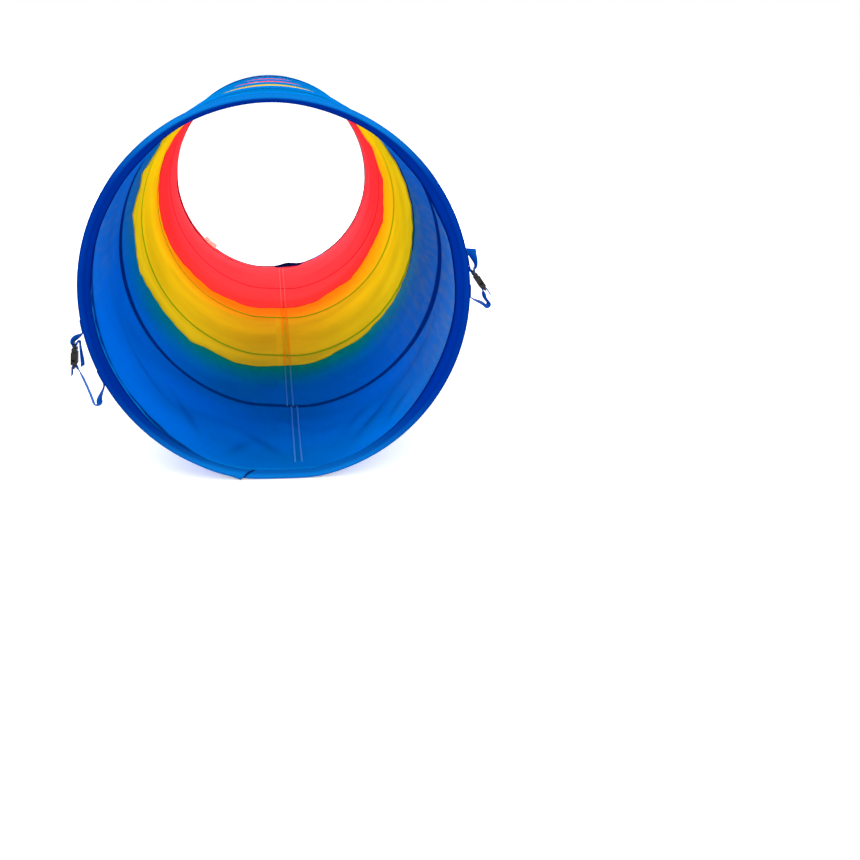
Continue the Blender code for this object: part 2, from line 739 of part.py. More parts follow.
def make_lower_webbing(label, side, place, root_angle, leave, turn_centre, radius, lean, twist, begin):
    """Webbing that hangs from the hem in a loop and comes up to the housing's bar."""
    outward, _, upward = place.to_3x3().col
    start, away = leaving(side, root_angle, leave)
    bar = place.translation - upward * (HOUSING_LENGTH - BAR / 2)
    turned = math.radians(lean)
    tip = Vector((side * math.sin(turned), 0, -math.cos(turned)))
    sideways = Vector((side * math.cos(turned), 0, math.sin(turned)))
    loop = half_turn(turn_centre, -sideways, tip, radius)
    fall = bend(start[-1], away * LOOP_PULL, loop[0], tip * LOOP_PULL)
    wrap = half_turn(bar, -outward, upward, WEBBING_TURN, begin)
    rise = bend(loop[-1], -tip * 2 * LOOP_PULL, wrap[0], arriving(upward, -outward, begin) * LOOP_PULL)
    back = [wrap[-1], wrap[-1] - upward * RETURN_LENGTH]
    stretches = [(line, wavering(0, line)) for line in (start, fall, loop)]
    stretches.append((rise, wavering(twist, rise)))
    stretches += [(line, wavering(0, line)) for line in (wrap, back)]
    return webbing_along(label + "_lower_webbing", stretches)


def make_strap(label, side, place, roots, leaves, face, tail_end, loop, radius, lean, twists, begins):
    """A strap that hangs by two sewn ends: webbing, the buckle's plug, its housing and a loop of webbing."""
    for which, angle in zip(("upper", "lower"), roots):
        root, down, _ = root_of(side, angle)
        sewn = [root, root - down * SEWN_END]
        webbing_along(f"{label}_{which}_sewn_end", [(sewn, wavering(0, sewn))])
    high, low = (root_of(side, angle)[0] for angle in roots)
    swing = pivot(label + "_strap_swing", Matrix.Translation((high + low) / 2))
    release = pivot(label + "_buckle_release", place)
    carry(
        swing,
        release,
        make_upper_webbing(
            label, side, place, roots[0], leaves[0], face, tail_end, twists[0], twists[2], begins[0]
        ),
        make_plug(label + "_buckle_plug", place, black_plastic, tunnel),
    )
    carry(
        release,
        make_housing(label + "_buckle_housing", place, black_plastic, tunnel),
        make_lower_webbing(
            label, side, place, roots[1], leaves[1], loop, radius, lean, twists[1], begins[1]
        ),
    )


# The scene
for old in list(bpy.data.objects):
    bpy.data.objects.remove(old, do_unlink=True)
tunnel = bpy.data.collections.new("play_tunnel")
cutters = bpy.data.collections.new("cutters")
for group in (tunnel, cutters):
    bpy.context.scene.collection.children.link(group)

blue_nylon = material("blue_nylon", paint(1, 84, 193), 0.5)
yellow_nylon = material("yellow_nylon", paint(222, 168, 24), 0.5)
red_nylon = material("red_nylon", paint(251, 50, 62), 0.5)
navy_binding = material("navy_binding", paint(22, 38, 96), 0.6)
blue_webbing = material("blue_webbing", paint(2, 70, 170), 0.7)
black_plastic = material("black_plastic", paint(24, 24, 26), 0.4)
spring_steel = material("spring_steel", paint(120, 122, 126), 0.35, 1)
crimp_steel = material("crimp_steel", paint(150, 152, 156), 0.4, 1)
pale_red_cloth = material("pale_red_cloth", paint(240, 120, 116), 0.7)

# The joints: each panel folds up towards the near mouth, and carries what lies past it
blue_slide = pivot("blue_slide", Matrix.Translation((0, BLUE_YELLOW, AXIS_HEIGHT)))
yellow_slide = pivot("yellow_slide", Matrix.Translation((0, YELLOW_RED, AXIS_HEIGHT)))
red_slide = pivot("red_slide", Matrix.Translation((0, FAR_MOUTH, AXIS_HEIGHT)))
carry(blue_slide, yellow_slide)
carry(yellow_slide, red_slide)

# Hems, panels and the bindings of the two seams between them
make_hem("near_hem", NEAR_MOUTH, 1, blue_nylon, tunnel)
near, far = NEAR_MOUTH + HEM_WIDTH + CLEARANCE, FAR_MOUTH - HEM_WIDTH - CLEARANCE
cut = CLEARANCE / 2
make_panel("blue_panel", near, BLUE_YELLOW - cut, blue_nylon, tunnel)
carry(
    blue_slide,
    make_panel("yellow_panel", BLUE_YELLOW + cut, YELLOW_RED - cut, yellow_nylon, tunnel),
    make_seam_tape("blue_yellow_seam_tape", BLUE_YELLOW, yellow_nylon, tunnel),
)
carry(
    yellow_slide,
    make_panel("red_panel", YELLOW_RED + cut, far, red_nylon, tunnel),
    make_seam_tape("yellow_red_seam_tape", YELLOW_RED, red_nylon, tunnel),
)
carry(
    red_slide,
    make_hem("far_hem", FAR_MOUTH, -1, navy_binding, tunnel),
    make_tab("rim_tab", pale_red_cloth, tunnel),
)

# The wire and its sleeve, cut where they pass from one panel to the next
half_cut = CLEARANCE / (4 * math.pi * WIRE_RADIUS)
seams = [turns_at(BLUE_YELLOW), turns_at(YELLOW_RED)]
make_wire("blue_wire", 0, seams[0] - half_cut, spring_steel, tunnel)
carry(blue_slide, make_wire("yellow_wire", seams[0] + half_cut, seams[1] - half_cut, spring_steel, tunnel))
carry(red_slide, make_wire("red_wire", seams[1] + half_cut, ALL_TURNS, spring_steel, tunnel))
edge = SLEEVE_FOOT / 2 + CLEARANCE
ends = [turns_at(near + edge), *seams, turns_at(far - edge)]
sleeve_carriers = (("blue", None), ("yellow", blue_slide), ("red", yellow_slide))
for (colour, carrier), first, last in zip(sleeve_carriers, ends, ends[1:]):
    sleeve = make_sleeve(colour + "_wire_sleeve", first + half_cut, last - half_cut, blue_nylon, tunnel)
    if carrier:
        carry(carrier, sleeve)
ferrule_middle = (FERRULE_LENGTH / 2 + FERRULE_SETBACK) / (2 * math.pi * WIRE_RADIUS)
make_ferrule("near_ferrule", ferrule_middle, tunnel, crimp_steel)
carry(red_slide, make_ferrule("far_ferrule", ALL_TURNS - ferrule_middle, tunnel, crimp_steel))

# The straps: on the left the webbing comes down outside the buckle, on the right inside it
left_place = buckle_frame(-1, LEFT_BUCKLE_ANGLE, LEFT_BUCKLE_STAND_OFF, LEFT_BUCKLE_LEAN)
make_strap(
    "left",
    -1,
    left_place,
    (LEFT_UPPER_ROOT, LEFT_LOWER_ROOT),
    (LEFT_UPPER_LEAVE, LEFT_LOWER_LEAVE),
    left_place.to_3x3().col[0],
    at_mouth(-1, LEFT_TAIL_ANGLE, MOUTH_RADIUS + LEFT_TAIL_STAND_OFF),
    at_mouth(-1, LEFT_LOOP_ANGLE, MOUTH_RADIUS + LEFT_LOOP_STAND_OFF),
    LEFT_LOOP_RADIUS,
    LEFT_LOOP_LEAN,
    (LEFT_FEED_TWIST, LEFT_RISE_TWIST, LEFT_TAIL_TWIST),
    (LEFT_UPPER_WRAP, LEFT_LOWER_WRAP),
)
right_place = buckle_frame(1, RIGHT_BUCKLE_ANGLE, RIGHT_BUCKLE_STAND_OFF, RIGHT_BUCKLE_LEAN)
make_strap(
    "right",
    1,
    right_place,
    (RIGHT_UPPER_ROOT, RIGHT_LOWER_ROOT),
    (RIGHT_UPPER_LEAVE, RIGHT_LOWER_LEAVE),
    -right_place.to_3x3().col[0],
    at_mouth(1, RIGHT_TAIL_ANGLE, MOUTH_RADIUS + RIGHT_TAIL_STAND_OFF),
    at_mouth(1, RIGHT_LOOP_ANGLE, MOUTH_RADIUS + RIGHT_LOOP_STAND_OFF),
    RIGHT_LOOP_RADIUS,
    RIGHT_LOOP_LEAN,
    (RIGHT_FEED_TWIST, RIGHT_RISE_TWIST, RIGHT_TAIL_TWIST),
    (RIGHT_UPPER_WRAP, RIGHT_LOWER_WRAP),
)

for helper in cutters.objects:
    helper.hide_render = True
    helper.display_type = "WIRE"

print(f"open pitch {OPEN_PITCH:.4f} m, axis {AXIS_HEIGHT:.4f} m above the floor")
print(f"least gap of the wire to itself {least_self_gap() * 1000:.2f} mm")
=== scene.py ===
# %% [markdown]
# # A pop-up crawl tunnel, dressed
# This file is a lesson in cells. The CAD model of the tunnel comes in as a fixed frame, and every cell
# adds one piece or one finish on top of it. All lengths are in metres, +Z is up, and the tunnel runs
# along +Y from its near mouth.

# %% Load the CAD model
import math

import bmesh
import bpy
import numpy as np
from mathutils import Matrix, Vector


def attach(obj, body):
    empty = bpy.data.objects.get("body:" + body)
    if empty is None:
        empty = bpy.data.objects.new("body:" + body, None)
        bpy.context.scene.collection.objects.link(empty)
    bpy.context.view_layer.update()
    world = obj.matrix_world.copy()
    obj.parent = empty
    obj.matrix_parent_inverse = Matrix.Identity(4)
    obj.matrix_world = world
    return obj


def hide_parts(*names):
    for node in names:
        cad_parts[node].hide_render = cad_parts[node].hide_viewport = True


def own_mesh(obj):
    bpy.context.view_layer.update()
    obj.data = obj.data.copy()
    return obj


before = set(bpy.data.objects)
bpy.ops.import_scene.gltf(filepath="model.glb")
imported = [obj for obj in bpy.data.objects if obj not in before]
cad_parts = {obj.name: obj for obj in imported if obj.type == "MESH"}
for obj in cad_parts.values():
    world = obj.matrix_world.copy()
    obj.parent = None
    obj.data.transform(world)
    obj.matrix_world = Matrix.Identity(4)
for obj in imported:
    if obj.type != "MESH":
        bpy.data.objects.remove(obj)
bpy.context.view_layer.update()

# %% [markdown]
# ## The camera
# The place and the lens were found by fitting the two mouths of the tunnel to their outlines in the
# photograph. A real camera could be placed by eye as well, but a fit keeps every later comparison fair.

# %% Camera
CAMERA_PLACE = (-0.0054, -2.6097, 0.5195)
CAMERA_TURN, CAMERA_DIP, CAMERA_ROLL = 6.616, 15.047, 0.363
CAMERA_LENS, CAMERA_SENSOR = 57.70, 36


def aim(turn, dip, roll):
    """The camera's axes: it looks along +Y turned towards +X, dipped down, then rolled about its own view."""
    turn, dip, roll = (math.radians(value) for value in (turn, dip, roll))
    ahead = Vector((math.sin(turn) * math.cos(dip), math.cos(turn) * math.cos(dip), -math.sin(dip)))
    right = Vector((math.cos(turn), -math.sin(turn), 0))
    up = right.cross(ahead)
    rolled_right = math.cos(roll) * right + math.sin(roll) * up
    rolled_up = math.cos(roll) * up - math.sin(roll) * right
    return Matrix((rolled_right, rolled_up, -ahead)).transposed()


lens = bpy.data.cameras.new("camera")
lens.lens = CAMERA_LENS
lens.sensor_width = CAMERA_SENSOR
camera = bpy.data.objects.new("camera", lens)
camera.matrix_world = Matrix.Translation(CAMERA_PLACE) @ aim(CAMERA_TURN, CAMERA_DIP, CAMERA_ROLL).to_4x4()
bpy.context.scene.collection.objects.link(camera)
bpy.context.scene.camera = camera

# %% [markdown]
# ## Writing a material as nodes
# A material is a small network of nodes, and most of it is plain arithmetic on numbers and colours. The
# helper below adds one node a call and hands back its output, so a finish reads like a formula.

# %% Node helper
class Nodes:
    """Short calls for building a material's node tree."""

    def __init__(self, name):
        self.material = bpy.data.materials.new(name)
        self.material.use_nodes = True
        self.tree = self.material.node_tree
        self.shader = self.tree.nodes["Principled BSDF"]
        self.output = self.tree.nodes["Material Output"]

    def feed(self, socket, value):
        """Links a socket to another node's output, or sets its own value."""
        if isinstance(value, bpy.types.NodeSocket):
            self.tree.links.new(value, socket)
        else:
            socket.default_value = value

    def surface(self, output):
        """Makes a shader's output the look of the material."""
        self.feed(self.output.inputs["Surface"], output)

    def add(self, kind, **settings):
        node = self.tree.nodes.new("ShaderNode" + kind)
        for key, value in settings.items():
            setattr(node, key, value)
        return node

    def math(self, operation, first, second=0.0):
        node = self.add("Math", operation=operation)
        self.feed(node.inputs[0], first)
        self.feed(node.inputs[1], second)
        return node.outputs[0]

    def plus(self, first, second):
        return self.math("ADD", first, second)

    def less(self, first, second):
        return self.math("SUBTRACT", first, second)

    def times(self, first, second):
        return self.math("MULTIPLY", first, second)

    def over(self, first, second):
        return self.math("DIVIDE", first, second)

    def rest(self, share):
        """What is left of 1."""
        return self.less(1.0, share)

    def blend(self, share, first, second, kind="MIX"):
        node = self.add("MixRGB", blend_type=kind)
        self.feed(node.inputs[0], share)
        self.feed(node.inputs[1], first)
        self.feed(node.inputs[2], second)
        return node.outputs[0]

    def step(self, value, low, high):
        """0 below low, 1 above high, smooth between."""
        node = self.add("MapRange", interpolation_type="SMOOTHSTEP")
        self.feed(node.inputs["Value"], value)
        node.inputs["From Min"].default_value = low
        node.inputs["From Max"].default_value = high
        return node.outputs[0]

    def along_across(self):
        """The cloth's own metres: round the tunnel, along it, and both as one vector."""
        place = self.add("UVMap", uv_map="UVMap")
        split = self.add("SeparateXYZ")
        self.feed(split.inputs[0], place.outputs[0])
        return split.outputs[0], split.outputs[1], place.outputs[0]

    def noise(self, vector, scale, detail=2.0, stretch=(1, 1, 1)):
        mapping = self.add("Mapping")
        self.feed(mapping.inputs["Vector"], vector)
        mapping.inputs["Scale"].default_value = stretch
        node = self.add("TexNoise")
        self.feed(node.inputs["Vector"], mapping.outputs[0])
        node.inputs["Scale"].default_value = scale
        node.inputs["Detail"].default_value = detail
        return node.outputs[0]

    def bump(self, height, distance, strength, before=None):
        node = self.add("Bump")
        node.inputs["Strength"].default_value = strength
        node.inputs["Distance"].default_value = distance
        self.feed(node.inputs["Height"], height)
        if before is not None:
            self.feed(node.inputs["Normal"], before)
        return node.outputs[0]


# %% [markdown]
# ## Light and floor
# Thin nylon is lit as much through its back as on its front, so the light comes from all round: an
# even white world, and four wide lamps for some shape, one of them before each mouth. The floor is a
# plain pale sheet that keeps the tunnel's shadow.

# %% World
WHITE = (1, 1, 1, 1)
SKY_STRENGTH, SEEN_SKY_STRENGTH = 0.95, 1.0

bpy.context.scene.view_settings.view_transform = "Standard"
world = bpy.data.worlds.new("studio")
world.use_nodes = True
bpy.context.scene.world = world
sky = world.node_tree.nodes["Background"]
sky.inputs["Color"].default_value = WHITE
sky.inputs["Strength"].default_value = SKY_STRENGTH
seen_sky = world.node_tree.nodes.new("ShaderNodeBackground")
seen_sky.inputs["Color"].default_value = WHITE
seen_sky.inputs["Strength"].default_value = SEEN_SKY_STRENGTH
ray = world.node_tree.nodes.new("ShaderNodeLightPath")
which_sky = world.node_tree.nodes.new("ShaderNodeMixShader")
link = world.node_tree.links.new
link(ray.outputs["Is Camera Ray"], which_sky.inputs["Fac"])
link(sky.outputs["Background"], which_sky.inputs[1])
link(seen_sky.outputs["Background"], which_sky.inputs[2])
link(which_sky.outputs["Shader"], world.node_tree.nodes["World Output"].inputs["Surface"])


# %% Lamps
def lamp(name, place, target, size, power):
    """A square area lamp at place that shines at target."""
    data = bpy.data.lights.new(name, "AREA")
    data.size = size
    data.energy = power
    made = bpy.data.objects.new(name, data)
    towards = (Vector(target) - Vector(place)).to_track_quat("-Z", "Y")
    made.matrix_world = Matrix.Translation(place) @ towards.to_matrix().to_4x4()
    bpy.context.scene.collection.objects.link(made)


lamp("key_lamp", (-1.6, -1.6, 3.0), (0, 0, 0.2), size=2.4, power=40)
lamp("fill_lamp", (2.4, 0.8, 2.6), (0, 0, 0.2), size=2.4, power=26)
lamp("front_lamp", (0.2, -3.2, 1.25), (0, -0.3, 0.1), size=1.6, power=40)
lamp("back_lamp", (0, 3.2, 1.4), (0, 0.2, 0), size=1.6, power=115)

# %% Floor
FLOOR_SIDE, FLOOR_BACK = 9, 40
FLOOR_PALE, FLOOR_LIFT = 0.9, 0.42

floor_mesh = bpy.data.meshes.new("floor")
front_left, front_right = (-FLOOR_SIDE, -FLOOR_SIDE, 0), (FLOOR_SIDE, -FLOOR_SIDE, 0)
back_right, back_left = (FLOOR_SIDE, FLOOR_BACK, 0), (-FLOOR_SIDE, FLOOR_BACK, 0)
floor_mesh.from_pydata([front_left, front_right, back_right, back_left], [], [(0, 1, 2, 3)])
floor = bpy.data.objects.new("floor", floor_mesh)
bpy.context.scene.collection.objects.link(floor)
pale = Nodes("pale_floor")
pale.shader.inputs["Base Color"].default_value = (FLOOR_PALE, FLOOR_PALE, FLOOR_PALE, 1)
pale.shader.inputs["Roughness"].default_value = 0.9
pale.shader.inputs["Specular IOR Level"].default_value = 0.1
path = pale.add("LightPath")
seen = pale.math("MAXIMUM", path.outputs["Is Camera Ray"], path.outputs["Is Glossy Ray"])
lift = pale.add("Emission")
pale.feed(lift.inputs["Strength"], pale.times(seen, FLOOR_LIFT))
both = pale.add("AddShader")
pale.feed(both.inputs[0], pale.shader.outputs[0])
pale.feed(both.inputs[1], lift.outputs[0])
pale.surface(both.outputs[0])
floor_mesh.materials.append(pale.material)

# %% [markdown]
# ## The tunnel's measures
# Everything below is a surface over two numbers: the angle round the tunnel, counted in degrees from
# the bottom towards -X, and the distance along it. The ring is round apart from a flat foot where it
# stands on the floor.

# %% Measures
LENGTH = 1.83
NEAR, FAR = -LENGTH / 2, LENGTH / 2
MOUTH_RADIUS = 0.2415
FOOT_HALF = 0.038
FOOT_ANGLE = math.degrees(math.asin(FOOT_HALF / MOUTH_RADIUS))
AXIS_HEIGHT = MOUTH_RADIUS * math.cos(math.radians(FOOT_ANGLE))
BLUE_LENGTH, YELLOW_LENGTH = 0.645, 0.580
BLUE_YELLOW = NEAR + BLUE_LENGTH
YELLOW_RED = BLUE_YELLOW + YELLOW_LENGTH
HEM_WIDTH = 0.025
CLOTH = 0.0006
AIR = 0.0003
WIRE = 0.0026
WIRE_RADIUS = 0.2382
WIRE_INSET = 0.006
CLOTH_RADIUS = 0.2353
RING_LENGTH = 2 * math.pi * CLOTH_RADIUS
OPEN_TURNS, ALL_TURNS = 5, 7
CLOSED_PITCH = 0.0032
CLIMB_RAMP = 0.15
CLIMB = LENGTH - 2 * WIRE_INSET - ALL_TURNS * CLOSED_PITCH
OPEN_PITCH = CLOSED_PITCH + CLIMB / (OPEN_TURNS - CLIMB_RAMP)
print(f"axis {AXIS_HEIGHT:.4f} m up, open pitch {OPEN_PITCH:.4f} m")

# %% Places on the ring
PRESS = 160


def on_ring(angle, radius):
    """x and z of a ring point: a circle, where the share cos(angle)/cos(foot) above 1 is pressed flat.
    The soft press is (1 + share^PRESS)^(-1/PRESS)."""
    turned = np.radians(angle)
    share = np.maximum(np.cos(turned), 0) / math.cos(math.radians(FOOT_ANGLE))
    pressed = radius * (1 + share**PRESS) ** (-1 / PRESS)
    return -pressed * np.sin(turned), AXIS_HEIGHT - pressed * np.cos(turned)


def from_bottom(angle):
    """Degrees from the bottom of the ring, on either side: 0 to 180."""
    return np.abs((angle + 180) % 360 - 180)


def direction(angle):
    """The way from the tunnel's axis to a place on the ring, as rows of x, y, z."""
    turned = np.radians(angle)
    return np.stack((-np.sin(turned), 0 * turned, -np.cos(turned)), -1)


# %% Soft steps and the wire's climb
def smooth(share):
    """0 to 1 along 3s^2 - 2s^3."""
    share = np.clip(share, 0, 1)
    return share * share * (3 - 2 * share)


def bell(distance, width):
    """1 at no distance, falling on both sides as exp(-(distance/width)^2)."""
    return np.exp(-((distance / width) ** 2))


def ramp(turns):
    """The way gone by a climb that comes to its full rate over CLIMB_RAMP turns."""
    slow = turns**2 / (2 * CLIMB_RAMP)
    return np.where(turns <= 0, 0, np.where(turns < CLIMB_RAMP, slow, turns - CLIMB_RAMP / 2))


def climb(turns):
    """Where the wire is along the tunnel after so many turns: one closed, the open ones, one closed."""
    opened = ramp(turns - 1) - ramp(turns - 1 - OPEN_TURNS + CLIMB_RAMP)
    return NEAR + WIRE_INSET + CLOSED_PITCH * turns + (OPEN_PITCH - CLOSED_PITCH) * opened


# %% Seams that wander
SWAY, RIPPLE, SCALLOP, FRAY = 0.0024, 0.0016, 0.0034, 0.0007
MEAN_SCALLOP = 0.64


def wander(place, angle):
    """A sewn seam is never quite straight: its place plus slow sines of the angle, and scallops |sine|
    between the points where it is held, up to about 6 mm in all."""
    turned = np.radians(angle)
    waves = SWAY * np.sin(5 * turned + 40 * place) + RIPPLE * np.sin(11 * turned + 2)
    scallops = SCALLOP * (np.abs(np.sin(9 * turned + 0.8 * np.sin(4 * turned + 9 * place))) - MEAN_SCALLOP)
    return place + waves + scallops + FRAY * np.sin(37 * turned)


# %% [markdown]
# ## Meshes from grids
# A grid of points becomes a mesh in one go. Each face is four neighbours of the grid, and both index
# arrays are computed at once, with no loop over vertices. A row may close on itself, as round a ring.

# %% Grid helper
SHARP_ANGLE = 50


def grid_mesh(name, x, y, z, around, u, v, wrap=0.0, capped=False):
    """Rows by columns of points. around joins the last column to the first, where u goes on by wrap.
    u, v are metres on the cloth. capped closes both ends of a tube."""
    rows, columns = x.shape
    points = np.stack((x, y, z), axis=-1).reshape(-1, 3)
    steps = np.arange(columns if around else columns - 1)
    row, column = np.meshgrid(np.arange(rows - 1), steps, indexing="ij")
    after = (column + 1) % columns
    here, above = row * columns, (row + 1) * columns
    faces = np.stack((here + column, here + after, above + after, above + column), -1).reshape(-1, 4).tolist()
    spots = np.stack((u, v), -1)
    ahead = np.roll(spots, -1, axis=1)
    ahead[:, -1, 0] = u[:, 0] + wrap
    around_face = (spots[row, column], ahead[row, column], ahead[row + 1, column], spots[row + 1, column])
    uv = np.stack(around_face, -2).reshape(-1, 2)
    if capped:
        ends = [list(range(columns))[::-1], list(range((rows - 1) * columns, rows * columns))]
        faces += ends
        uv = np.concatenate((uv, spots.reshape(-1, 2)[ends[0] + ends[1]]))
    mesh = bpy.data.meshes.new(name)
    mesh.from_pydata(points, [], faces)
    mesh.uv_layers.new(name="UVMap").data.foreach_set("uv", uv.reshape(-1))
    if capped:
        shape = bmesh.new()
        shape.from_mesh(mesh)
        bmesh.ops.recalc_face_normals(shape, faces=shape.faces)
        shape.to_mesh(mesh)
        shape.free()
    mesh.shade_smooth()
    if capped:
        mesh.set_sharp_from_angle(angle=math.radians(SHARP_ANGLE))
    return mesh


def add_piece(mesh, finish, body, stands_for=(), thickness=0, offset=0.0):
    """Makes the object of a mesh, gives it its finish and a wall, and lets it ride on a CAD body."""
    made = bpy.data.objects.new(mesh.name, mesh)
    bpy.context.scene.collection.objects.link(made)
    mesh.materials.append(finish)
    if thickness:
        wall = made.modifiers.new("wall", "SOLIDIFY")
        wall.thickness = thickness
        wall.offset = offset
    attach(made, body)
    for node in stands_for:
        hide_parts(node)
    print(f"{mesh.name}: {len(mesh.vertices)} points")
    return made


# %% [markdown]
# ## Nylon
# The panels are thin, plain-woven nylon. Light comes through it, so the finish is a Principled shader
# for what the front sends back, mixed with a Translucent one for what comes through. It has no gloss of
# its own here: at the flat angles of a tunnel's wall, gloss would whiten the colour.

# %% Colours
def linear(value):
    """One channel of a screen colour, 0 to 255, as a shader's linear value: the usual screen curve."""
    share = value / 255
    return ((share + 0.055) / 1.055) ** 2.4 if share > 0.04045 else share / 12.92


def screen(red, green, blue):
    """A colour as it looks on a screen, in the linear values of a shader."""
    return [linear(red), linear(green), linear(blue), 1]


def darker(colour, share):
    """A colour at a share of its brightness."""
    return [*(channel * share for channel in colour[:3]), 1]


BLACK = [0, 0, 0, 1]
# Each panel's second colour is painted shade, for the wire's shadow line and the creases, and also colours
# the stitches beside the wire.
BLUE, DEEP_BLUE = screen(0, 143, 215), screen(0, 80, 156)
YELLOW, OLIVE = screen(229, 216, 66), screen(156, 198, 50)
RED, DARK_RED = screen(238, 104, 116), screen(208, 60, 76)

# %% Patterns that every cloth shares
WEAVE = 0.0007
STITCH = 0.0042


def near_line(made, value, place, half, soft):
    """1 within half of a place, falling to 0 over soft."""
    away = made.math("ABSOLUTE", made.less(value, place))
    return made.rest(made.step(away, half, half + soft))


def dashes(made, value, length=STITCH, share=0.7):
    """A row of stitches: 1 on the first share of each length, 0 on the rest."""
    part = made.math("FRACT", made.over(value, length))
    return made.rest(made.step(part, share - 0.1, share))


def uneven(made, place, colour, scale, stretch, low, high, share):
    """Cloth is never one even colour: a broad noise takes it down to a share of its brightness."""
    tone = made.step(made.noise(place, scale, 3.0, stretch), low, high)
    return made.blend(tone, colour, darker(colour, share))


def weave_bump(made, round_it, along):
    """Threads WEAVE apart both ways, as a product of two sines."""
    weave_x = made.math("SINE", made.times(round_it, 2 * math.pi / WEAVE))
    weave_y = made.math("SINE", made.times(along, 2 * math.pi / WEAVE))
    return made.bump(made.times(weave_x, weave_y), distance=0.00003, strength=0.3)


def foot_distance(made, round_it):
    """How far round a place is from the bottom, as a share of the ring: 0 at the bottom, 0.5 at the top."""
    turned = made.math("FRACT", made.plus(made.over(round_it, RING_LENGTH), 0.5))
    return made.math("ABSOLUTE", made.less(turned, 0.5))


CLEARER = 1.5


def shine_through(made, shaded, normal, through, roughness):
    """What the front sends back, mixed with what comes through the cloth, which is clearer in colour."""
    made.feed(made.shader.inputs["Base Color"], shaded)
    made.shader.inputs["Roughness"].default_value = roughness
    made.shader.inputs["Specular IOR Level"].default_value = 0.0
    made.feed(made.shader.inputs["Normal"], normal)
    back = made.add("BsdfTranslucent")
    made.feed(back.inputs["Color"], made.blend(1.0, shaded, [CLEARER, CLEARER, CLEARER, 1], "MULTIPLY"))
    made.feed(back.inputs["Normal"], normal)
    mixed = made.add("MixShader")
    mixed.inputs[0].default_value = through
    made.feed(mixed.inputs[1], made.shader.outputs[0])
    made.feed(mixed.inputs[2], back.outputs[0])
    made.surface(mixed.outputs[0])
    return made.material


# %% [markdown]
# ## What is drawn on a panel
# Three things show on the panels' cloth. The wire in its channel casts a painted shadow through the cloth,
# a dark line along the helix, between two rows of stitches. The lengthwise seam is a flat lap with a pale
# row at each edge. And on the side walls of the blue panel there are painted reflections of the far
# panels, pale streaks of a long noise. All three are formulas over the cloth's own metres, so they stay
# put when a panel folds.

# %% Wire's painted shadow line
WIRE_SHADOW_SOFT = 0.0056
HELIX_PHASE = (ALL_TURNS + 1) / 2 - FOOT_ANGLE / 360
CHANNEL_HALF = 0.0030
SIDE_FROM, SIDE_TO = (0.10, 0.24), (0.30, 0.42)


def beside_wire(made, round_it, along):
    """Metres from the wire's helix: turns gone along less those gone round, from the nearest whole one."""
    turns = made.less(made.over(along, OPEN_PITCH), made.over(round_it, RING_LENGTH))
    turns = made.math("FRACT", made.plus(turns, HELIX_PHASE))
    return made.times(made.less(turns, 0.5), OPEN_PITCH)


def wire_shadow_line(made, beside, from_foot, half, side_width):
    """The wire's painted shadow line. It is 1 + side_width times as wide on the side walls, where more of it
    is seen.
    """
    sides = made.less(made.step(from_foot, *SIDE_FROM), made.step(from_foot, *SIDE_TO))
    widened = made.over(beside, made.plus(1.0, made.times(sides, side_width)))
    return near_line(made, widened, 0.0, half, WIRE_SHADOW_SOFT)


# %% Lengthwise seam
SEAM_FROM_FOOT = 0.021
LONG_SEAM = (360 - math.degrees(math.asin(SEAM_FROM_FOOT / CLOTH_RADIUS))) / 360 * RING_LENGTH
SEAM_HALF, SEAM_SOFT, SEAM_ROW = 0.0062, 0.0006, 0.0045
SEAM_BEGINS, SEAM_FADE = NEAR + 0.050, 0.010
WIRE_UNDER_SEAM = NEAR + 0.359
JOG, JOG_HALF = 0.006, 0.002


def across_seam(made, round_it, along):
    """Metres from the seam's middle, round the ring. The seam jogs sideways by JOG where the wire passes."""
    passed = made.step(along, WIRE_UNDER_SEAM - JOG_HALF, WIRE_UNDER_SEAM + JOG_HALF)
    return made.less(made.plus(round_it, JOG / 2), made.plus(made.times(passed, JOG), LONG_SEAM))


# %% Painted reflections on the side walls
RIGHT_WALL, LEFT_WALL = 0.745 * RING_LENGTH, 0.30 * RING_LENGTH
LEFT_SHARE = 0.5
REFLECTION_SHARE = 0.26


def side_reflections(made, round_it, place):
    """Painted reflection of the far panels: an even share and a long noise, both fading out round the ring
    from the middle of each side wall.
    """
    threads = made.noise(place, scale=90.0, detail=5.0, stretch=(1, 0.12, 1))
    streak = made.step(threads, low=0.40, high=0.70)
    right = near_line(made, round_it, RIGHT_WALL, half=0.03, soft=0.20)
    left = made.times(near_line(made, round_it, LEFT_WALL, half=0.0, soft=0.14), LEFT_SHARE)
    return made.times(made.plus(made.times(streak, REFLECTION_SHARE), REFLECTION_SHARE), made.math("MAXIMUM", right, left))


# %% [markdown]
# ## The panels' finish
# Now the pieces come together, from the widest to the finest: the uneven tone, painted bounce light from
# the neighbour low down beside a seam, painted shade in the creases, painted reflections on the side
# walls, the wire's painted shadow line, the lengthwise seam and the stitches.

# %% Panel finish
UP_THE_WALL, LESS_ABOVE = (0.08, 0.26), 0.65
BOUNCE_SHARE, CREASE_SHADE_SHARE, CHANNEL_SHARE, LAP_SHARE, THREAD_SHARE = 0.8, 0.5, 0.35, 0.12, 0.75


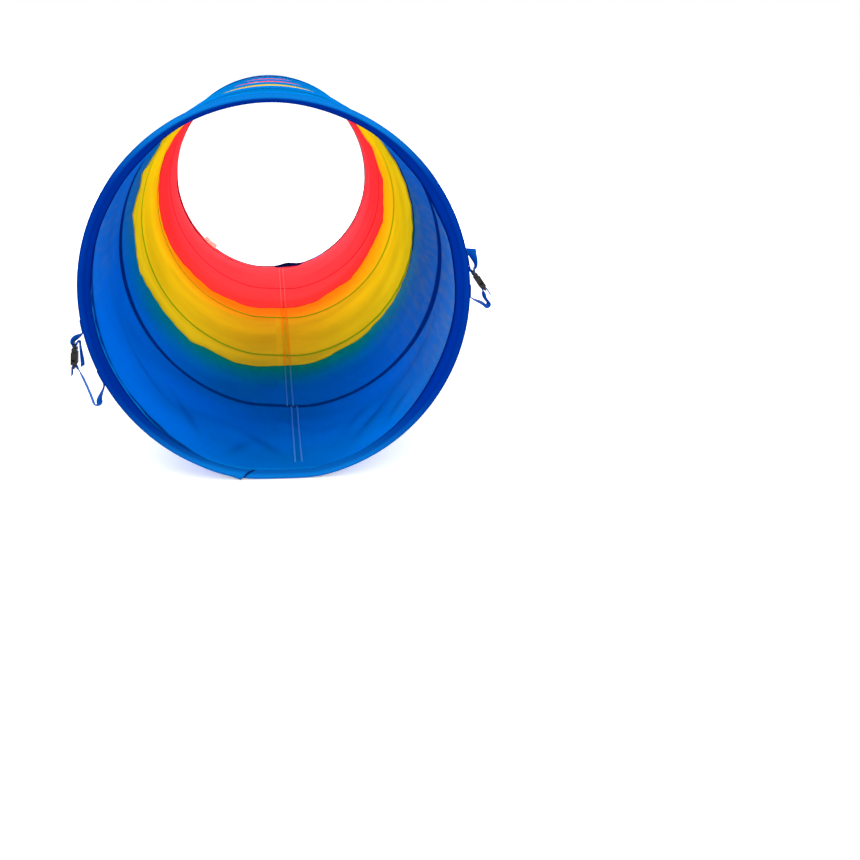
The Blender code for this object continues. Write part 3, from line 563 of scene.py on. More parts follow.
def nylon(name, colour, shade_and_stitch_colour, thread, neighbour_bounce=None, reflection_colour=None, wire_shadow_half=0.0036, side_width=0.3):
    """Woven nylon of a panel. Painted bounce light from the next panel is given as (place along, colour,
    reach): the colour it throws on this one beside their seam.
    """
    made = Nodes(name)
    round_it, along, place = made.along_across()
    from_foot = foot_distance(made, round_it)
    shaded = uneven(made, place, colour, scale=5.0, stretch=(1, 1.6, 1), low=0.3, high=0.75, share=0.86)
    # Painted bounce light: the next panel's colour thrown on this one beside their seam, strongest low down
    # on the wall.
    if neighbour_bounce:
        seam, bounce_colour, reach = neighbour_bounce
        low = made.rest(made.times(made.step(from_foot, *UP_THE_WALL), LESS_ABOVE))
        bounced_light = made.times(near_line(made, along, seam, 0.0, reach), made.times(low, BOUNCE_SHARE))
        shaded = made.blend(bounced_light, shaded, bounce_colour)
    # Painted shade in the creases near the mouth: the fold attribute holds each crease's depth.
    fold = made.add("Attribute", attribute_name="fold").outputs["Fac"]
    shaded = made.blend(made.times(fold, CREASE_SHADE_SHARE), shaded, shade_and_stitch_colour)
    # Painted reflection of the far red and yellow panels on the blue side walls, as pale grey streaks.
    if reflection_colour:
        shaded = made.blend(side_reflections(made, round_it, place), shaded, reflection_colour)

    # The wire's painted shadow through the cloth, and the real stitches of its channel beside it.
    beside = beside_wire(made, round_it, along)
    line = wire_shadow_line(made, beside, from_foot, wire_shadow_half, side_width)
    shaded = made.blend(line, shaded, shade_and_stitch_colour)
    for edge in (-CHANNEL_HALF, CHANNEL_HALF):
        row = near_line(made, beside, edge, half=0.0001, soft=0.0005)
        row = made.times(row, dashes(made, round_it))
        shaded = made.blend(made.times(row, CHANNEL_SHARE), shaded, shade_and_stitch_colour)

    across = across_seam(made, round_it, along)
    behind_hem = made.step(along, SEAM_BEGINS, SEAM_BEGINS + SEAM_FADE)
    flat_seam = made.times(near_line(made, across, 0.0, SEAM_HALF, SEAM_SOFT), behind_hem)
    shaded = made.blend(made.times(flat_seam, LAP_SHARE), shaded, BLACK)
    for edge in (-SEAM_ROW, SEAM_ROW):
        row = near_line(made, across, edge, half=0.0009, soft=0.0006)
        row = made.times(made.times(row, dashes(made, along, share=0.8)), behind_hem)
        shaded = made.blend(made.times(row, THREAD_SHARE), shaded, thread)

    normal = weave_bump(made, round_it, along)
    crumple = made.noise(place, scale=26.0, detail=4.0)
    normal = made.bump(crumple, distance=0.0022, strength=0.35, before=normal)
    normal = made.bump(flat_seam, distance=0.0008, strength=0.8, before=normal)
    normal = made.bump(line, distance=0.0006, strength=0.5, before=normal)
    return shine_through(made, shaded, normal, through=0.52, roughness=0.5)


# The teal and the orange from the next panel are painted bounce light, and the blue's pale grey is painted
# reflection.
blue_nylon = nylon(
    "nylon_blue", BLUE, DEEP_BLUE, thread=screen(110, 190, 235),
    neighbour_bounce=(BLUE_YELLOW, screen(0, 172, 160), 0.20), reflection_colour=screen(146, 150, 164),
    wire_shadow_half=0.0062, side_width=1.5,
)
yellow_nylon = nylon(
    "nylon_yellow", YELLOW, OLIVE, thread=screen(255, 170, 20), neighbour_bounce=(YELLOW_RED, screen(250, 168, 40), 0.19)
)
red_nylon = nylon("nylon_red", RED, DARK_RED, thread=screen(255, 160, 160))

# %% [markdown]
# ## Sewn nylon: hems, the wire's sleeve and the tab
# Where nylon is folded double and sewn, less light comes through, so it looks deeper in colour. The near
# hem is deep blue, with painted light at the very bottom and on top outside, where the light from above
# reaches it, a colour of its own for the shaded cone inside the bead, and painted shadow lines along its
# inner edge and under its lap. The far hem is navy, with a painted sheen of bright blue on top outside,
# and red on its inner part like the panel beside it. v runs over a hem's section: 0 at the outer edge,
# 0.03 on the bead, 0.06 at the inner edge.

# %% Marks on the hems
SECTION = 0.06
HEM_ROWS = (0.0535, 0.0022)
INNER_EDGE = 0.0575
RED_BEGINS, RED_SOFT, RED_LATER = 0.0475, 0.001, 0.008
LAP_SLANT, LAP_PLACE = 0.444, 0.0593
BULGE_ANGLE, PALE_PATCH_ANGLE = 351, 331
BULGE_PLACE, PALE_PATCH_PLACE = BULGE_ANGLE / 360 * RING_LENGTH, PALE_PATCH_ANGLE / 360 * RING_LENGTH


def far_rim(made, shaded, round_it, section, inner):
    """A paler blue patch on the bead, and the inner colour from RED_BEGINS on, later on the swelling."""
    patch = near_line(made, round_it, PALE_PATCH_PLACE, half=0.012, soft=0.012)
    pale_patch = made.times(patch, made.step(section, low=0.037, high=0.042))
    shaded = made.blend(pale_patch, shaded, screen(4, 128, 214))
    later = made.times(near_line(made, round_it, BULGE_PLACE, half=0.028, soft=0.012), -RED_LATER)
    past = made.step(made.plus(section, later), RED_BEGINS, RED_BEGINS + RED_SOFT)
    return made.blend(past, shaded, inner)


def lap_edge_shadow(made, round_it, section):
    """The slanted edge of the hem's lap: a painted shadow line over the bead and the inside."""
    part = made.math("FRACT", made.over(round_it, RING_LENGTH))
    edge = made.plus(made.times(part, RING_LENGTH), made.times(section, LAP_SLANT))
    line = near_line(made, edge, LAP_PLACE, half=0.0008, soft=0.0022)
    return made.times(line, made.step(section, low=0.016, high=0.020))


# %% Hem, sleeve and tab finishes
OFF_FOOT, ON_TOP, OUTSIDE_BEAD, INSIDE_BEAD = (0.05, 0.17), (0.34, 0.42), (0.030, 0.036), (0.034, 0.041)
CONE_SHARE, EDGE_SHADOW_SHARE, LAP_SHADOW_SHARE, ROW_SHARE = 0.8, 0.8, 0.85, 0.5


def sewn_nylon(name, colour, deep, lit_colour, thread, top_sheen=None, inner=None, lap=False, through=0.3):
    """colour all over, a colour for the shaded cone inside the bead, painted light at the bottom, and on top
    outside painted light or, when given, a painted sheen of its own colour.
    """
    made = Nodes(name)
    round_it, section, place = made.along_across()
    from_foot = foot_distance(made, round_it)
    high = made.step(from_foot, *OFF_FOOT)
    shaded = uneven(made, place, colour, scale=14.0, stretch=(1, 2, 1), low=0.35, high=0.7, share=0.9)
    # Painted light at the bottom, where the light reaches the hem.
    shaded = made.blend(made.rest(high), shaded, lit_colour)
    # Painted light or a painted sheen on top outside, where the light from above falls.
    above = made.times(made.step(from_foot, *ON_TOP), made.rest(made.step(section, *OUTSIDE_BEAD)))
    shaded = made.blend(above, shaded, top_sheen or lit_colour)
    # The cone inside the bead lies in shade and gets a colour of its own for it.
    cone_in_shade = made.times(made.step(section, *INSIDE_BEAD), high)
    shaded = made.blend(made.times(cone_in_shade, CONE_SHARE), shaded, deep)
    if inner:
        shaded = far_rim(made, shaded, round_it, section, inner)
    else:
        # A painted shadow line along the hem's inner edge.
        rim = made.times(near_line(made, section, INNER_EDGE, half=0.0012, soft=0.0025), high)
        shaded = made.blend(made.times(rim, EDGE_SHADOW_SHARE), shaded, darker(deep, 0.45))
    if lap:
        # A painted shadow line under the slanted edge of the lap.
        slit = lap_edge_shadow(made, round_it, section)
        shaded = made.blend(made.times(slit, LAP_SHADOW_SHARE), shaded, darker(deep, 0.3))
    inside, outside = (near_line(made, section, row, half=0.0002, soft=0.0003) for row in HEM_ROWS)
    stitched = dashes(made, round_it)
    rows = made.plus(made.times(inside, stitched), made.times(outside, stitched))
    shaded = made.blend(made.times(rows, ROW_SHARE), shaded, thread)
    normal = weave_bump(made, round_it, section)
    gathers = made.noise(place, scale=40.0, detail=3.0, stretch=(1.6, 0.5, 1))
    normal = made.bump(gathers, distance=0.0016, strength=0.35, before=normal)
    normal = made.bump(rows, distance=0.0004, strength=0.5, before=normal)
    return shine_through(made, shaded, normal, through, roughness=0.45)


HEM_BLUE, NAVY = screen(0, 52, 152), screen(8, 28, 92)
SLEEVE_BLUE, TAB_RED = screen(2, 138, 222), screen(250, 200, 192)
# The near hem's bottom colour is painted light and its deep colour is for the shaded cone; the far hem's top
# colour is a painted sheen.
near_hem_nylon = sewn_nylon(
    "nylon_near_hem", HEM_BLUE, deep=screen(0, 56, 168), lit_colour=screen(10, 116, 196),
    thread=screen(0, 60, 170), lap=True,
)
far_hem_nylon = sewn_nylon(
    "nylon_far_hem", NAVY, NAVY, NAVY, thread=screen(190, 20, 40), top_sheen=screen(4, 120, 200), inner=RED
)
sleeve_nylon = sewn_nylon("nylon_sleeve", SLEEVE_BLUE, SLEEVE_BLUE, SLEEVE_BLUE, thread=screen(0, 60, 160))
tab_cloth = sewn_nylon("cloth_tab", TAB_RED, TAB_RED, TAB_RED, thread=screen(220, 120, 116), through=0.5)

# %% [markdown]
# ## Webbing, plastic and steel
# Webbing shows its ribs: threads that cross it 1.1 mm apart, and a darker edge. The buckles are satin
# moulded plastic with a fine grain. The wire and its crimps are bare steel.

# %% Webbing finish
RIB, THREAD = 0.0011, 0.0010
EDGE_BEGINS, EDGE_FULL, EDGE_SHARE = 0.0060, 0.0066, 0.35
WORN_SHARE = 0.25


def ribbed_webbing(name, colour, worn):
    """u runs across the webbing and v along it, both in metres: ribs = |sine(v)| * |sine(u)| in bump."""
    made = Nodes(name)
    across, along, place = made.along_across()
    ribs = made.math("ABSOLUTE", made.math("SINE", made.times(along, math.pi / RIB)))
    threads = made.math("ABSOLUTE", made.math("SINE", made.times(across, math.pi / THREAD)))
    woven = made.times(ribs, threads)
    edge = made.step(made.math("ABSOLUTE", across), EDGE_BEGINS, EDGE_FULL)
    shaded = made.blend(woven, darker(colour, 0.55), colour)
    shaded = made.blend(made.times(edge, EDGE_SHARE), shaded, darker(colour, 0.5))
    patches = made.step(made.noise(place, scale=60.0), low=0.45, high=0.75)
    shaded = made.blend(made.times(patches, WORN_SHARE), shaded, worn)
    made.feed(made.shader.inputs["Base Color"], shaded)
    made.shader.inputs["Roughness"].default_value = 0.62
    made.shader.inputs["Specular IOR Level"].default_value = 0.08
    made.feed(made.shader.inputs["Normal"], made.bump(woven, distance=0.00022, strength=0.8))
    return made.material


# %% Plastic and steel finishes
GRAIN_IN_ROUGHNESS = 0.16
WEAR_SIZE = 9


def grained(name, colour, pale, roughness, metallic, scale, shine=0.5):
    """A plain body with a fine grain in its roughness and its bump, and wide worn patches in its colour,
    all in Object coordinates."""
    made = Nodes(name)
    place = made.add("TexCoord").outputs["Object"]
    grain = made.noise(place, scale, detail=4.0)
    wear = made.step(made.noise(place, scale / WEAR_SIZE, detail=3.0), low=0.5, high=0.8)
    made.feed(made.shader.inputs["Base Color"], made.blend(wear, colour, pale))
    rough = made.plus(made.times(grain, GRAIN_IN_ROUGHNESS), roughness - GRAIN_IN_ROUGHNESS / 2)
    made.feed(made.shader.inputs["Roughness"], rough)
    made.shader.inputs["Metallic"].default_value = metallic
    made.shader.inputs["Specular IOR Level"].default_value = shine
    made.feed(made.shader.inputs["Normal"], made.bump(grain, distance=0.00006, strength=0.5))
    return made.material


webbing_weave = ribbed_webbing("webbing_blue", screen(0, 96, 206), worn=screen(4, 112, 222))
buckle_plastic = grained("plastic_black", screen(13, 13, 14), screen(24, 24, 26), 0.42, 0, 1400, shine=0.22)
spring_steel = grained("steel_wire", screen(120, 122, 126), screen(96, 97, 100), 0.36, 1, 900)
crimp_steel = grained("steel_crimp", screen(150, 152, 156), screen(120, 122, 126), 0.42, 1, 900)

# %% [markdown]
# ## The three panels
# Each panel is a tube of nylon that the wire holds out. Between two turns of the wire the cloth is
# drawn in a little, and near a seam it puckers. A cloth simulation would find such a shape too, but it
# is known: the wire holds the cloth out, and between turns it falls in as a square of a sine. Three
# looser forms lie on top: a neck behind the near hem, slack creases near the mouth, and flat facets
# beside the two seams between the panels.

# %% Neck behind the mouth
NECK = 0.0075
FLAT_UNTIL, FLAT_FADE = 22, 40
TOP_FROM, TOP_FADE, TOP_SHARE = 120, 45, 0.3
NECK_BEGINS, NECK_RISE, NECK_ENDS, NECK_FALL = 0.002, 0.022, 0.026, 0.05


def off_the_floor(angle):
    """0 where the ring lies flat on the floor, 1 further up."""
    return smooth((from_bottom(angle) - FLAT_UNTIL) / FLAT_FADE)


def neck(angle, along):
    """Behind the mouth's ring the hem draws the cloth in, less at the top, and not where it lies flat."""
    share = off_the_floor(angle) * (1 - (1 - TOP_SHARE) * smooth((from_bottom(angle) - TOP_FROM) / TOP_FADE))
    inside = along - NEAR
    fallen = smooth((inside - NECK_ENDS) / NECK_FALL)
    return NECK * share * smooth((inside - NECK_BEGINS) / NECK_RISE) * (1 - fallen)


# %% Slack creases near the mouth
CREASES = (
    (6, 0.13, 26, 0.09, 0.0024), (14, 0.10, -20, 0.07, 0.0022), (-4, 0.24, 30, 0.08, 0.0016),
    (-34, 0.12, -38, 0.10, 0.0032), (-27, 0.16, -30, 0.07, 0.0022), (-44, 0.09, -48, 0.07, 0.0028),
    (33, 0.16, 22, 0.11, 0.0022), (52, 0.20, 60, 0.12, 0.0020), (-58, 0.20, -64, 0.12, 0.0022),
)
CREASE_WIDTH, FULL_CREASE_SHADE = 0.0075, 0.003
CREASES_BEGIN, CREASES_RISE = 0.03, 0.04


def mouth_creases(angle, along):
    """Each crease is a bell across its line times a wider bell along it.
    It is listed as (angle, metres from the mouth, tilt, length, depth)."""
    total = 0 * angle * along
    for place, inside, tilt, length, depth in CREASES:
        across = ((angle - place + 180) % 360 - 180) / 360 * RING_LENGTH
        ahead = along - NEAR - inside
        turned = math.radians(tilt)
        beside = across * math.cos(turned) - ahead * math.sin(turned)
        down = across * math.sin(turned) + ahead * math.cos(turned)
        total = total + depth * bell(beside, CREASE_WIDTH) * bell(down, length / 2)
    return total * smooth((along - NEAR - CREASES_BEGIN) / CREASES_RISE)


# %% Facets beside the panel seams
FACET, FACET_REACH = 0.0042, 0.07


def facets(angle, along):
    """Between the points where a seam is held, the cloth beside it is drawn in, in flat facets: |sine|
    of the angle, and a bell away from the seam."""
    turned = np.radians(angle)
    total = 0
    for seam in (BLUE_YELLOW, YELLOW_RED):
        held = np.abs(np.sin(8 * turned + 1.1 * np.sin(3 * turned) + 12 * seam))
        total = total + held * bell(along - seam, FACET_REACH)
    return FACET * total


# %% Cloth radius
SAG, SOFT_CREASE, PUCKER = 0.0050, 0.0012, 0.0007
SEAM_HOLDS, SEAM_LETS_GO = 0.005, 0.06
PUCKER_RISE, PUCKER_REACH = 0.004, 0.03
TIGHT_UNTIL, LOOSE_FADE = 8, 25
WIRE_HOLDS = 0.25


def cloth_radius(angle, along, start, end):
    """Radius of the cloth: out at the wire, in by the sag between its turns, with soft creases on top."""
    turns = along / OPEN_PITCH + ALL_TURNS / 2 - (angle + FOOT_ANGLE) / 360
    between = np.sin(np.pi * turns) ** 2
    to_seam = np.minimum(np.abs(along - start), np.abs(end - along))
    free = smooth((to_seam - SEAM_HOLDS) / SEAM_LETS_GO)
    turned = np.radians(angle)
    one_way = np.sin(9 * turned + 31 * along + 1.7 * np.sin(3 * turned))
    crease = one_way * np.sin(5 * turned - 23 * along + 0.6)
    gathers = np.sin(47 * turned + 2.2 * np.sin(5 * turned))
    pucker = gathers * np.exp(-to_seam / PUCKER_REACH) * smooth(to_seam / PUCKER_RISE)
    loose = smooth((from_bottom(angle) - TIGHT_UNTIL) / LOOSE_FADE)
    off_wire = smooth(between / WIRE_HOLDS)
    sag = SAG * between * free + loose * (SOFT_CREASE * crease * between * free + PUCKER * pucker)
    drawn_in = neck(angle, along) + mouth_creases(angle, along)
    return CLOTH_RADIUS - sag - facets(angle, along) * off_wire * loose - drawn_in


# %% Panels
COLUMNS = 288
ROW_STEP = 0.006
ANGLES = np.arange(COLUMNS) * 360 / COLUMNS
near_edge, far_edge = NEAR + HEM_WIDTH - AIR, FAR - HEM_WIDTH + AIR


def folds_up(made):
    """Gives a piece its own copy of its mesh."""
    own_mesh(made)


def panel(colour, first, last, start, end, finish, body):
    """first and last are the panel's two edges at each angle: rows of cloth run evenly between them."""
    rows = int((end - start) / ROW_STEP)
    share, angle = np.meshgrid(np.linspace(0, 1, rows), ANGLES, indexing="ij")
    along = first + share * (last - first)
    x, z = on_ring(angle, cloth_radius(angle, along, start, end))
    mesh = grid_mesh(colour + "_cloth", x, along, z, True, angle / 360 * RING_LENGTH, along, RING_LENGTH)
    # The crease depth as a share of a full crease, stored for painted shade in the creases.
    fold = np.clip(mouth_creases(angle, along) / FULL_CREASE_SHADE, 0, 1).astype(np.float32)
    mesh.attributes.new("fold", "FLOAT", "POINT").data.foreach_set("value", fold.reshape(-1))
    made = add_piece(mesh, finish, body, [colour + "_panel"], CLOTH)
    folds_up(made)


blue_seam, red_seam = wander(BLUE_YELLOW, ANGLES), wander(YELLOW_RED, ANGLES)
slit = AIR / 2
panel("blue", near_edge, blue_seam - slit, near_edge, BLUE_YELLOW, blue_nylon, "near_end")
panel("yellow", blue_seam + slit, red_seam - slit, BLUE_YELLOW, YELLOW_RED, yellow_nylon, "blue_yellow_seam")
panel("red", red_seam + slit, far_edge, YELLOW_RED, far_edge, red_nylon, "yellow_red_seam")

# %% [markdown]
# ## Bindings of the two seams
# Where two panels meet, a narrow strip of the next panel's nylon binds the raw edges on the inside. It
# is gathered a little by its own stitches, so it gets small pleats: a fast sine of the angle.

# %% Seam bindings
BINDING_WIDTH, BINDING_WALL, BINDING_ROWS, BEFORE_SEAM = 0.006, 0.0005, 6, 0.1
PLEAT, PLEATS = 0.0002, 72
NO_SEAM = 9


def binding(name, place, edge, finish, body, node):
    """A ring just inside the cloth: the cloth's radius less a gap, and a pleat of PLEAT times a sine. The
    panel on each side of the seam is taken to end NO_SEAM metres away, where its other seam has no say."""
    shares = np.linspace(-BEFORE_SEAM, 1 - BEFORE_SEAM, BINDING_ROWS)
    share, angle = np.meshgrid(shares, ANGLES, indexing="ij")
    along = edge + share * BINDING_WIDTH
    pleat = PLEAT * np.sin(np.radians(PLEATS * angle)) * np.cos(np.pi * (share + BEFORE_SEAM - 0.5))
    before = cloth_radius(angle, along, place - NO_SEAM, place)
    after = cloth_radius(angle, along, place, place + NO_SEAM)
    x, z = on_ring(angle, np.minimum(before, after) - CLOTH - AIR + pleat - PLEAT)
    mesh = grid_mesh(name, x, along, z, True, angle / 360 * RING_LENGTH, along, RING_LENGTH)
    add_piece(mesh, finish, body, [node], BINDING_WALL)


binding(
    "blue_yellow_binding", BLUE_YELLOW, blue_seam, yellow_nylon, "blue_yellow_seam",
    "blue_yellow_seam_tape",
)
binding(
    "yellow_red_binding", YELLOW_RED, red_seam, red_nylon, "yellow_red_seam",
    "yellow_red_seam_tape",
)

# %% [markdown]
# ## The spring wire
# One wire of 2.6 mm does all the work: a closed turn in each hem, and five open turns between them. It
# is a tube along a helix. It is cut where it passes from one panel to the next, because each stretch
# rides on its own panel's body.

# %% Spring wire
ROWS_A_TURN, WIRE_SIDES = 120, 12


def turns_at(along):
    """The turns at which the wire reaches a distance along the tunnel, read off a fine table of the climb."""
    table = np.linspace(0, ALL_TURNS, 1000 * ALL_TURNS + 1)
    return float(np.interp(along, climb(table), table))


def wire_tube(colour, first, last, body):
    """A circle of the wire's radius carried along the helix, square to it: radially and along the tunnel."""
    steps = np.linspace(first, last, int((last - first) * ROWS_A_TURN))
    turns, round_it = np.meshgrid(steps, np.arange(WIRE_SIDES) * 2 * np.pi / WIRE_SIDES, indexing="ij")
    x, z = on_ring(360 * turns - FOOT_ANGLE, WIRE_RADIUS + WIRE / 2 * np.cos(round_it))
    along = climb(turns) + WIRE / 2 * np.sin(round_it)
    name = colour + "_spring"
    mesh = grid_mesh(name, x, along, z, True, turns * RING_LENGTH, round_it * WIRE / 2, capped=True)
    made = add_piece(mesh, spring_steel, body, [colour + "_wire"])
    folds_up(made)


crossings = [0, turns_at(BLUE_YELLOW), turns_at(YELLOW_RED), ALL_TURNS]
CUT = AIR / (4 * math.pi * WIRE_RADIUS)
wire_tube("blue", 0, crossings[1] - CUT, "near_end")
wire_tube("yellow", crossings[1] + CUT, crossings[2] - CUT, "blue_yellow_seam")
wire_tube("red", crossings[2] + CUT, ALL_TURNS, "yellow_red_seam")

# %% [markdown]
# ## The wire's blue sleeve
# The wire runs in a blue strip sewn to the outside of all three panels. Seen along the tunnel's top, its
# crests hide most of the yellow and the red behind them. The strip is an arch carried along the helix:
# flat feet on the cloth, and a round top over the wire.

# %% Sleeve
SLEEVE_FOOT, SLEEVE_WALL = 0.0064, 0.0005
SLEEVE_ROWS_A_TURN, SLEEVE_COLUMNS = 144, 13
SHOULDER = 0.3
SLEEVE_INSET = 0.003


def sleeve(colour, first, last, start, end, body):
    """Across the strip the radius rises from the cloth to the wire's top: foot + rise * smooth(share)."""
    steps = np.linspace(first, last, int((last - first) * SLEEVE_ROWS_A_TURN))
    turns, across = np.meshgrid(steps, np.linspace(-0.5, 0.5, SLEEVE_COLUMNS), indexing="ij")
    angle = 360 * turns - FOOT_ANGLE
    along = climb(turns) + across * SLEEVE_FOOT
    foot = cloth_radius(angle, along, start, end) + CLOTH / 2 + AIR
    top = WIRE_RADIUS + WIRE / 2 + AIR
    x, z = on_ring(angle, foot + (top - foot) * smooth((0.5 - np.abs(across)) / SHOULDER))
    mesh = grid_mesh(colour + "_sleeve", x, along, z, False, turns * RING_LENGTH, across * SLEEVE_FOOT)
    made = add_piece(mesh, sleeve_nylon, body, [colour + "_wire_sleeve"], SLEEVE_WALL, offset=1)
    folds_up(made)


margin = SLEEVE_FOOT / 2 + AIR + SLEEVE_INSET
sleeve_start, sleeve_end = turns_at(near_edge + margin), turns_at(far_edge - margin)
sleeve("blue", sleeve_start, crossings[1] - CUT, near_edge, BLUE_YELLOW, "near_end")
sleeve("yellow", crossings[1] + CUT, crossings[2] - CUT, BLUE_YELLOW, YELLOW_RED, "blue_yellow_seam")
sleeve("red", crossings[2] + CUT, sleeve_end, YELLOW_RED, far_edge, "yellow_red_seam")

# %% [markdown]
# ## The hems
# Each mouth is a strip of nylon folded round the wire's closed turn and sewn to the panel. Its section
# is one line: back along the outside, round a bead over the wire, and in along the inside as a shallow
# cone down to where the panel is drawn in. One end of the strip laps over the other by about 10
# degrees and is cut on a slant. At the near mouth it stands out a little, with a small loose point.

# %% Hem section
HEM_WALL = 0.0007
BEAD_DEPTH, BEAD_INSET = 0.0062, 0.0001
BEAD_FROM, BEAD_TO = 0.3, 0.7
NEAR_HALF, NEAR_EXTRA, FAR_HALF = 0.0033, 0.0009, 0.0046
HEM_REACH = HEM_WIDTH + 0.0024
OUTSIDE_DROP, CONE_SAG = 0.0012, 0.0008
FLOOR_AIR = 0.0004
HEM_STEPS = np.concatenate((
    np.linspace(0, BEAD_FROM, 6, endpoint=False),
    np.linspace(BEAD_FROM, BEAD_TO, 22),
    np.linspace(BEAD_TO, 1, 9)[1:],
))[:, None]

# %% Lap, loose point and swelling
LAP_INNER, LAP_OUTER, LAP_END, LAP_FADE = 8.6, 12.5, 20, 6
LAP_COLUMNS, SLANT_OVER = 15, 0.6
LAP_RISE, INNER_RISE_PER, OUTER_RISE_PER = 0.0011, 0.0036, 0.0060
TIP, TIP_WIDTH, TIP_AT, TIP_SPREAD = 0.0022, 1.6, 0.42, 0.12
SWELLING, SWELLING_WIDTH = 0.0075, 5.5


# %% Hems
def hem(name, mouth, inward, finish, body, node):
    """Section of a hem, from t = 0 to 1: outside, half an ellipse round the wire, cone. The near hem has
    a slanted lap that stands out a little and a loose point on it, and the far hem a swelling on its bead."""
    near = inward > 0
    t = HEM_STEPS
    slant = LAP_OUTER + (LAP_INNER - LAP_OUTER) * smooth((t - BEAD_FROM) / SLANT_OVER)
    angle = slant + np.linspace(0, 1, COLUMNS + LAP_COLUMNS)[None, :] * (360 + LAP_END - slant)
    high = off_the_floor(angle) if near else 0 * angle
    half = NEAR_HALF + NEAR_EXTRA * high if near else FAR_HALF + 0 * high
    raised = LAP_RISE * (1 - smooth((angle - LAP_END) / LAP_FADE)) if near else 0
    swell = 0 if near else SWELLING * bell(angle - BULGE_ANGLE, SWELLING_WIDTH)

    turned = np.pi * (np.clip(t, BEAD_FROM, BEAD_TO) - BEAD_FROM) / (BEAD_TO - BEAD_FROM)
    inner_side = (1 + raised / INNER_RISE_PER) * (1 + swell / half)
    outer_side = 1 + raised / OUTER_RISE_PER
    along = BEAD_DEPTH - BEAD_DEPTH * np.sin(turned) * (1 + raised / BEAD_DEPTH)
    centre = MOUTH_RADIUS - BEAD_INSET - half
    radius = centre + half * np.cos(turned) * np.where(turned > np.pi / 2, inner_side, outer_side)

    outside = smooth((BEAD_FROM - t) / BEAD_FROM)
    along = along + outside * (HEM_WIDTH - BEAD_DEPTH - AIR)
    radius = radius - outside * OUTSIDE_DROP
    inside = np.clip((t - BEAD_TO) / (1 - BEAD_TO), 0, 1)
    end = mouth + inward * HEM_REACH + 0 * angle
    cloth = cloth_radius(angle, end, mouth - NO_SEAM, mouth + NO_SEAM) + CLOTH + AIR
    along = along + inside * (HEM_REACH - BEAD_DEPTH)
    radius = radius + inside * (cloth - radius) - CONE_SAG * high * np.sin(np.pi * inside)
    if near:
        radius = radius + TIP * bell(angle - slant, TIP_WIDTH) * bell(t - TIP_AT, TIP_SPREAD)

    x, z = on_ring(angle, radius)
    z = np.maximum(z, FLOOR_AIR)
    y = mouth + inward * (along + 0 * angle)
    mesh = grid_mesh(name, x, y, z, False, angle / 360 * RING_LENGTH, t * SECTION + 0 * angle)
    made = add_piece(mesh, finish, body, [node], HEM_WALL)


hem("near_hem_cloth", NEAR, 1, near_hem_nylon, "near_end", "near_hem")
hem("far_hem_cloth", FAR, -1, far_hem_nylon, "far_end", "far_hem")

# %% [markdown]
# ## The tab in the far rim
# A small blank tab of pale red cloth is caught in the far hem. It is a strip bent on a cubic curve, with
# a fold at its free end.

# %% Rim tab
def curve(start, leave, end, arrive, steps):
    """A cubic curve that leaves start along one vector and comes to end along another, as rows of points."""
    share = np.linspace(0, 1, steps + 1)[:, None]
    rest = 1 - share
    first, last = start + leave / 3, end - arrive / 3
    return rest**3 * start + 3 * rest**2 * share * first + 3 * rest * share**2 * last + share**3 * end


TAB_ANGLE, TAB_WIDTH, TAB_LENGTH, TAB_DROP, TAB_WALL = 43.5, 0.038, 0.030, 0.012, 0.0007
TAB_BELOW_CLOTH, TAB_TAPER, TAB_RIPPLE = 0.0022, 0.06, 0.0009
TAB_ROWS, TAB_COLUMNS = 20, 24

out = direction(np.float64(TAB_ANGLE))
aside = np.array((-math.cos(math.radians(TAB_ANGLE)), 0, math.sin(math.radians(TAB_ANGLE))))
axis_point = np.array((0, FAR - HEM_WIDTH, AXIS_HEIGHT))
held = axis_point + out * (CLOTH_RADIUS - TAB_BELOW_CLOTH) + np.array((0, TAB_LENGTH / 3, 0))
free = axis_point + out * (CLOTH_RADIUS - TAB_BELOW_CLOTH - TAB_DROP) - np.array((0, TAB_LENGTH / 3, 0))
line = curve(held, np.array((0, -TAB_LENGTH, 0)), free, -out * TAB_DROP * 2, TAB_ROWS)
shares, halves = np.linspace(0, 1, TAB_ROWS + 1), np.linspace(-0.5, 0.5, TAB_COLUMNS + 1)
share, across = np.meshgrid(shares, halves, indexing="ij")
ripple = TAB_RIPPLE * np.sin(9 * across + 1) * smooth(share)
wide = across * TAB_WIDTH * (1 - TAB_TAPER * share)
points = line[:, None, :] + aside * wide[..., None] + out * ripple[..., None]
tab_mesh = grid_mesh("far_tab", *np.moveaxis(points, -1, 0), False, across * TAB_WIDTH, share * TAB_LENGTH)
add_piece(tab_mesh, tab_cloth, "far_end", ["rim_tab"], TAB_WALL)

# %% [markdown]
# ## Webbing
# Each strap is 15 mm webbing. A webbing piece is a line of points with a twist at each: a rounded flat
# section is carried along the line, its width turned from the tunnel's own direction by the twist. The
# lines leave the hem, go round the buckle's bars and hang in a loop, on cubic curves and half circles.

# %% Webbing section
WEBBING, WEBBING_WIDTH = 0.0012, 0.015
SIDES = 24
SQUARE_WIDE, SQUARE_DEEP = 0.35, 0.6


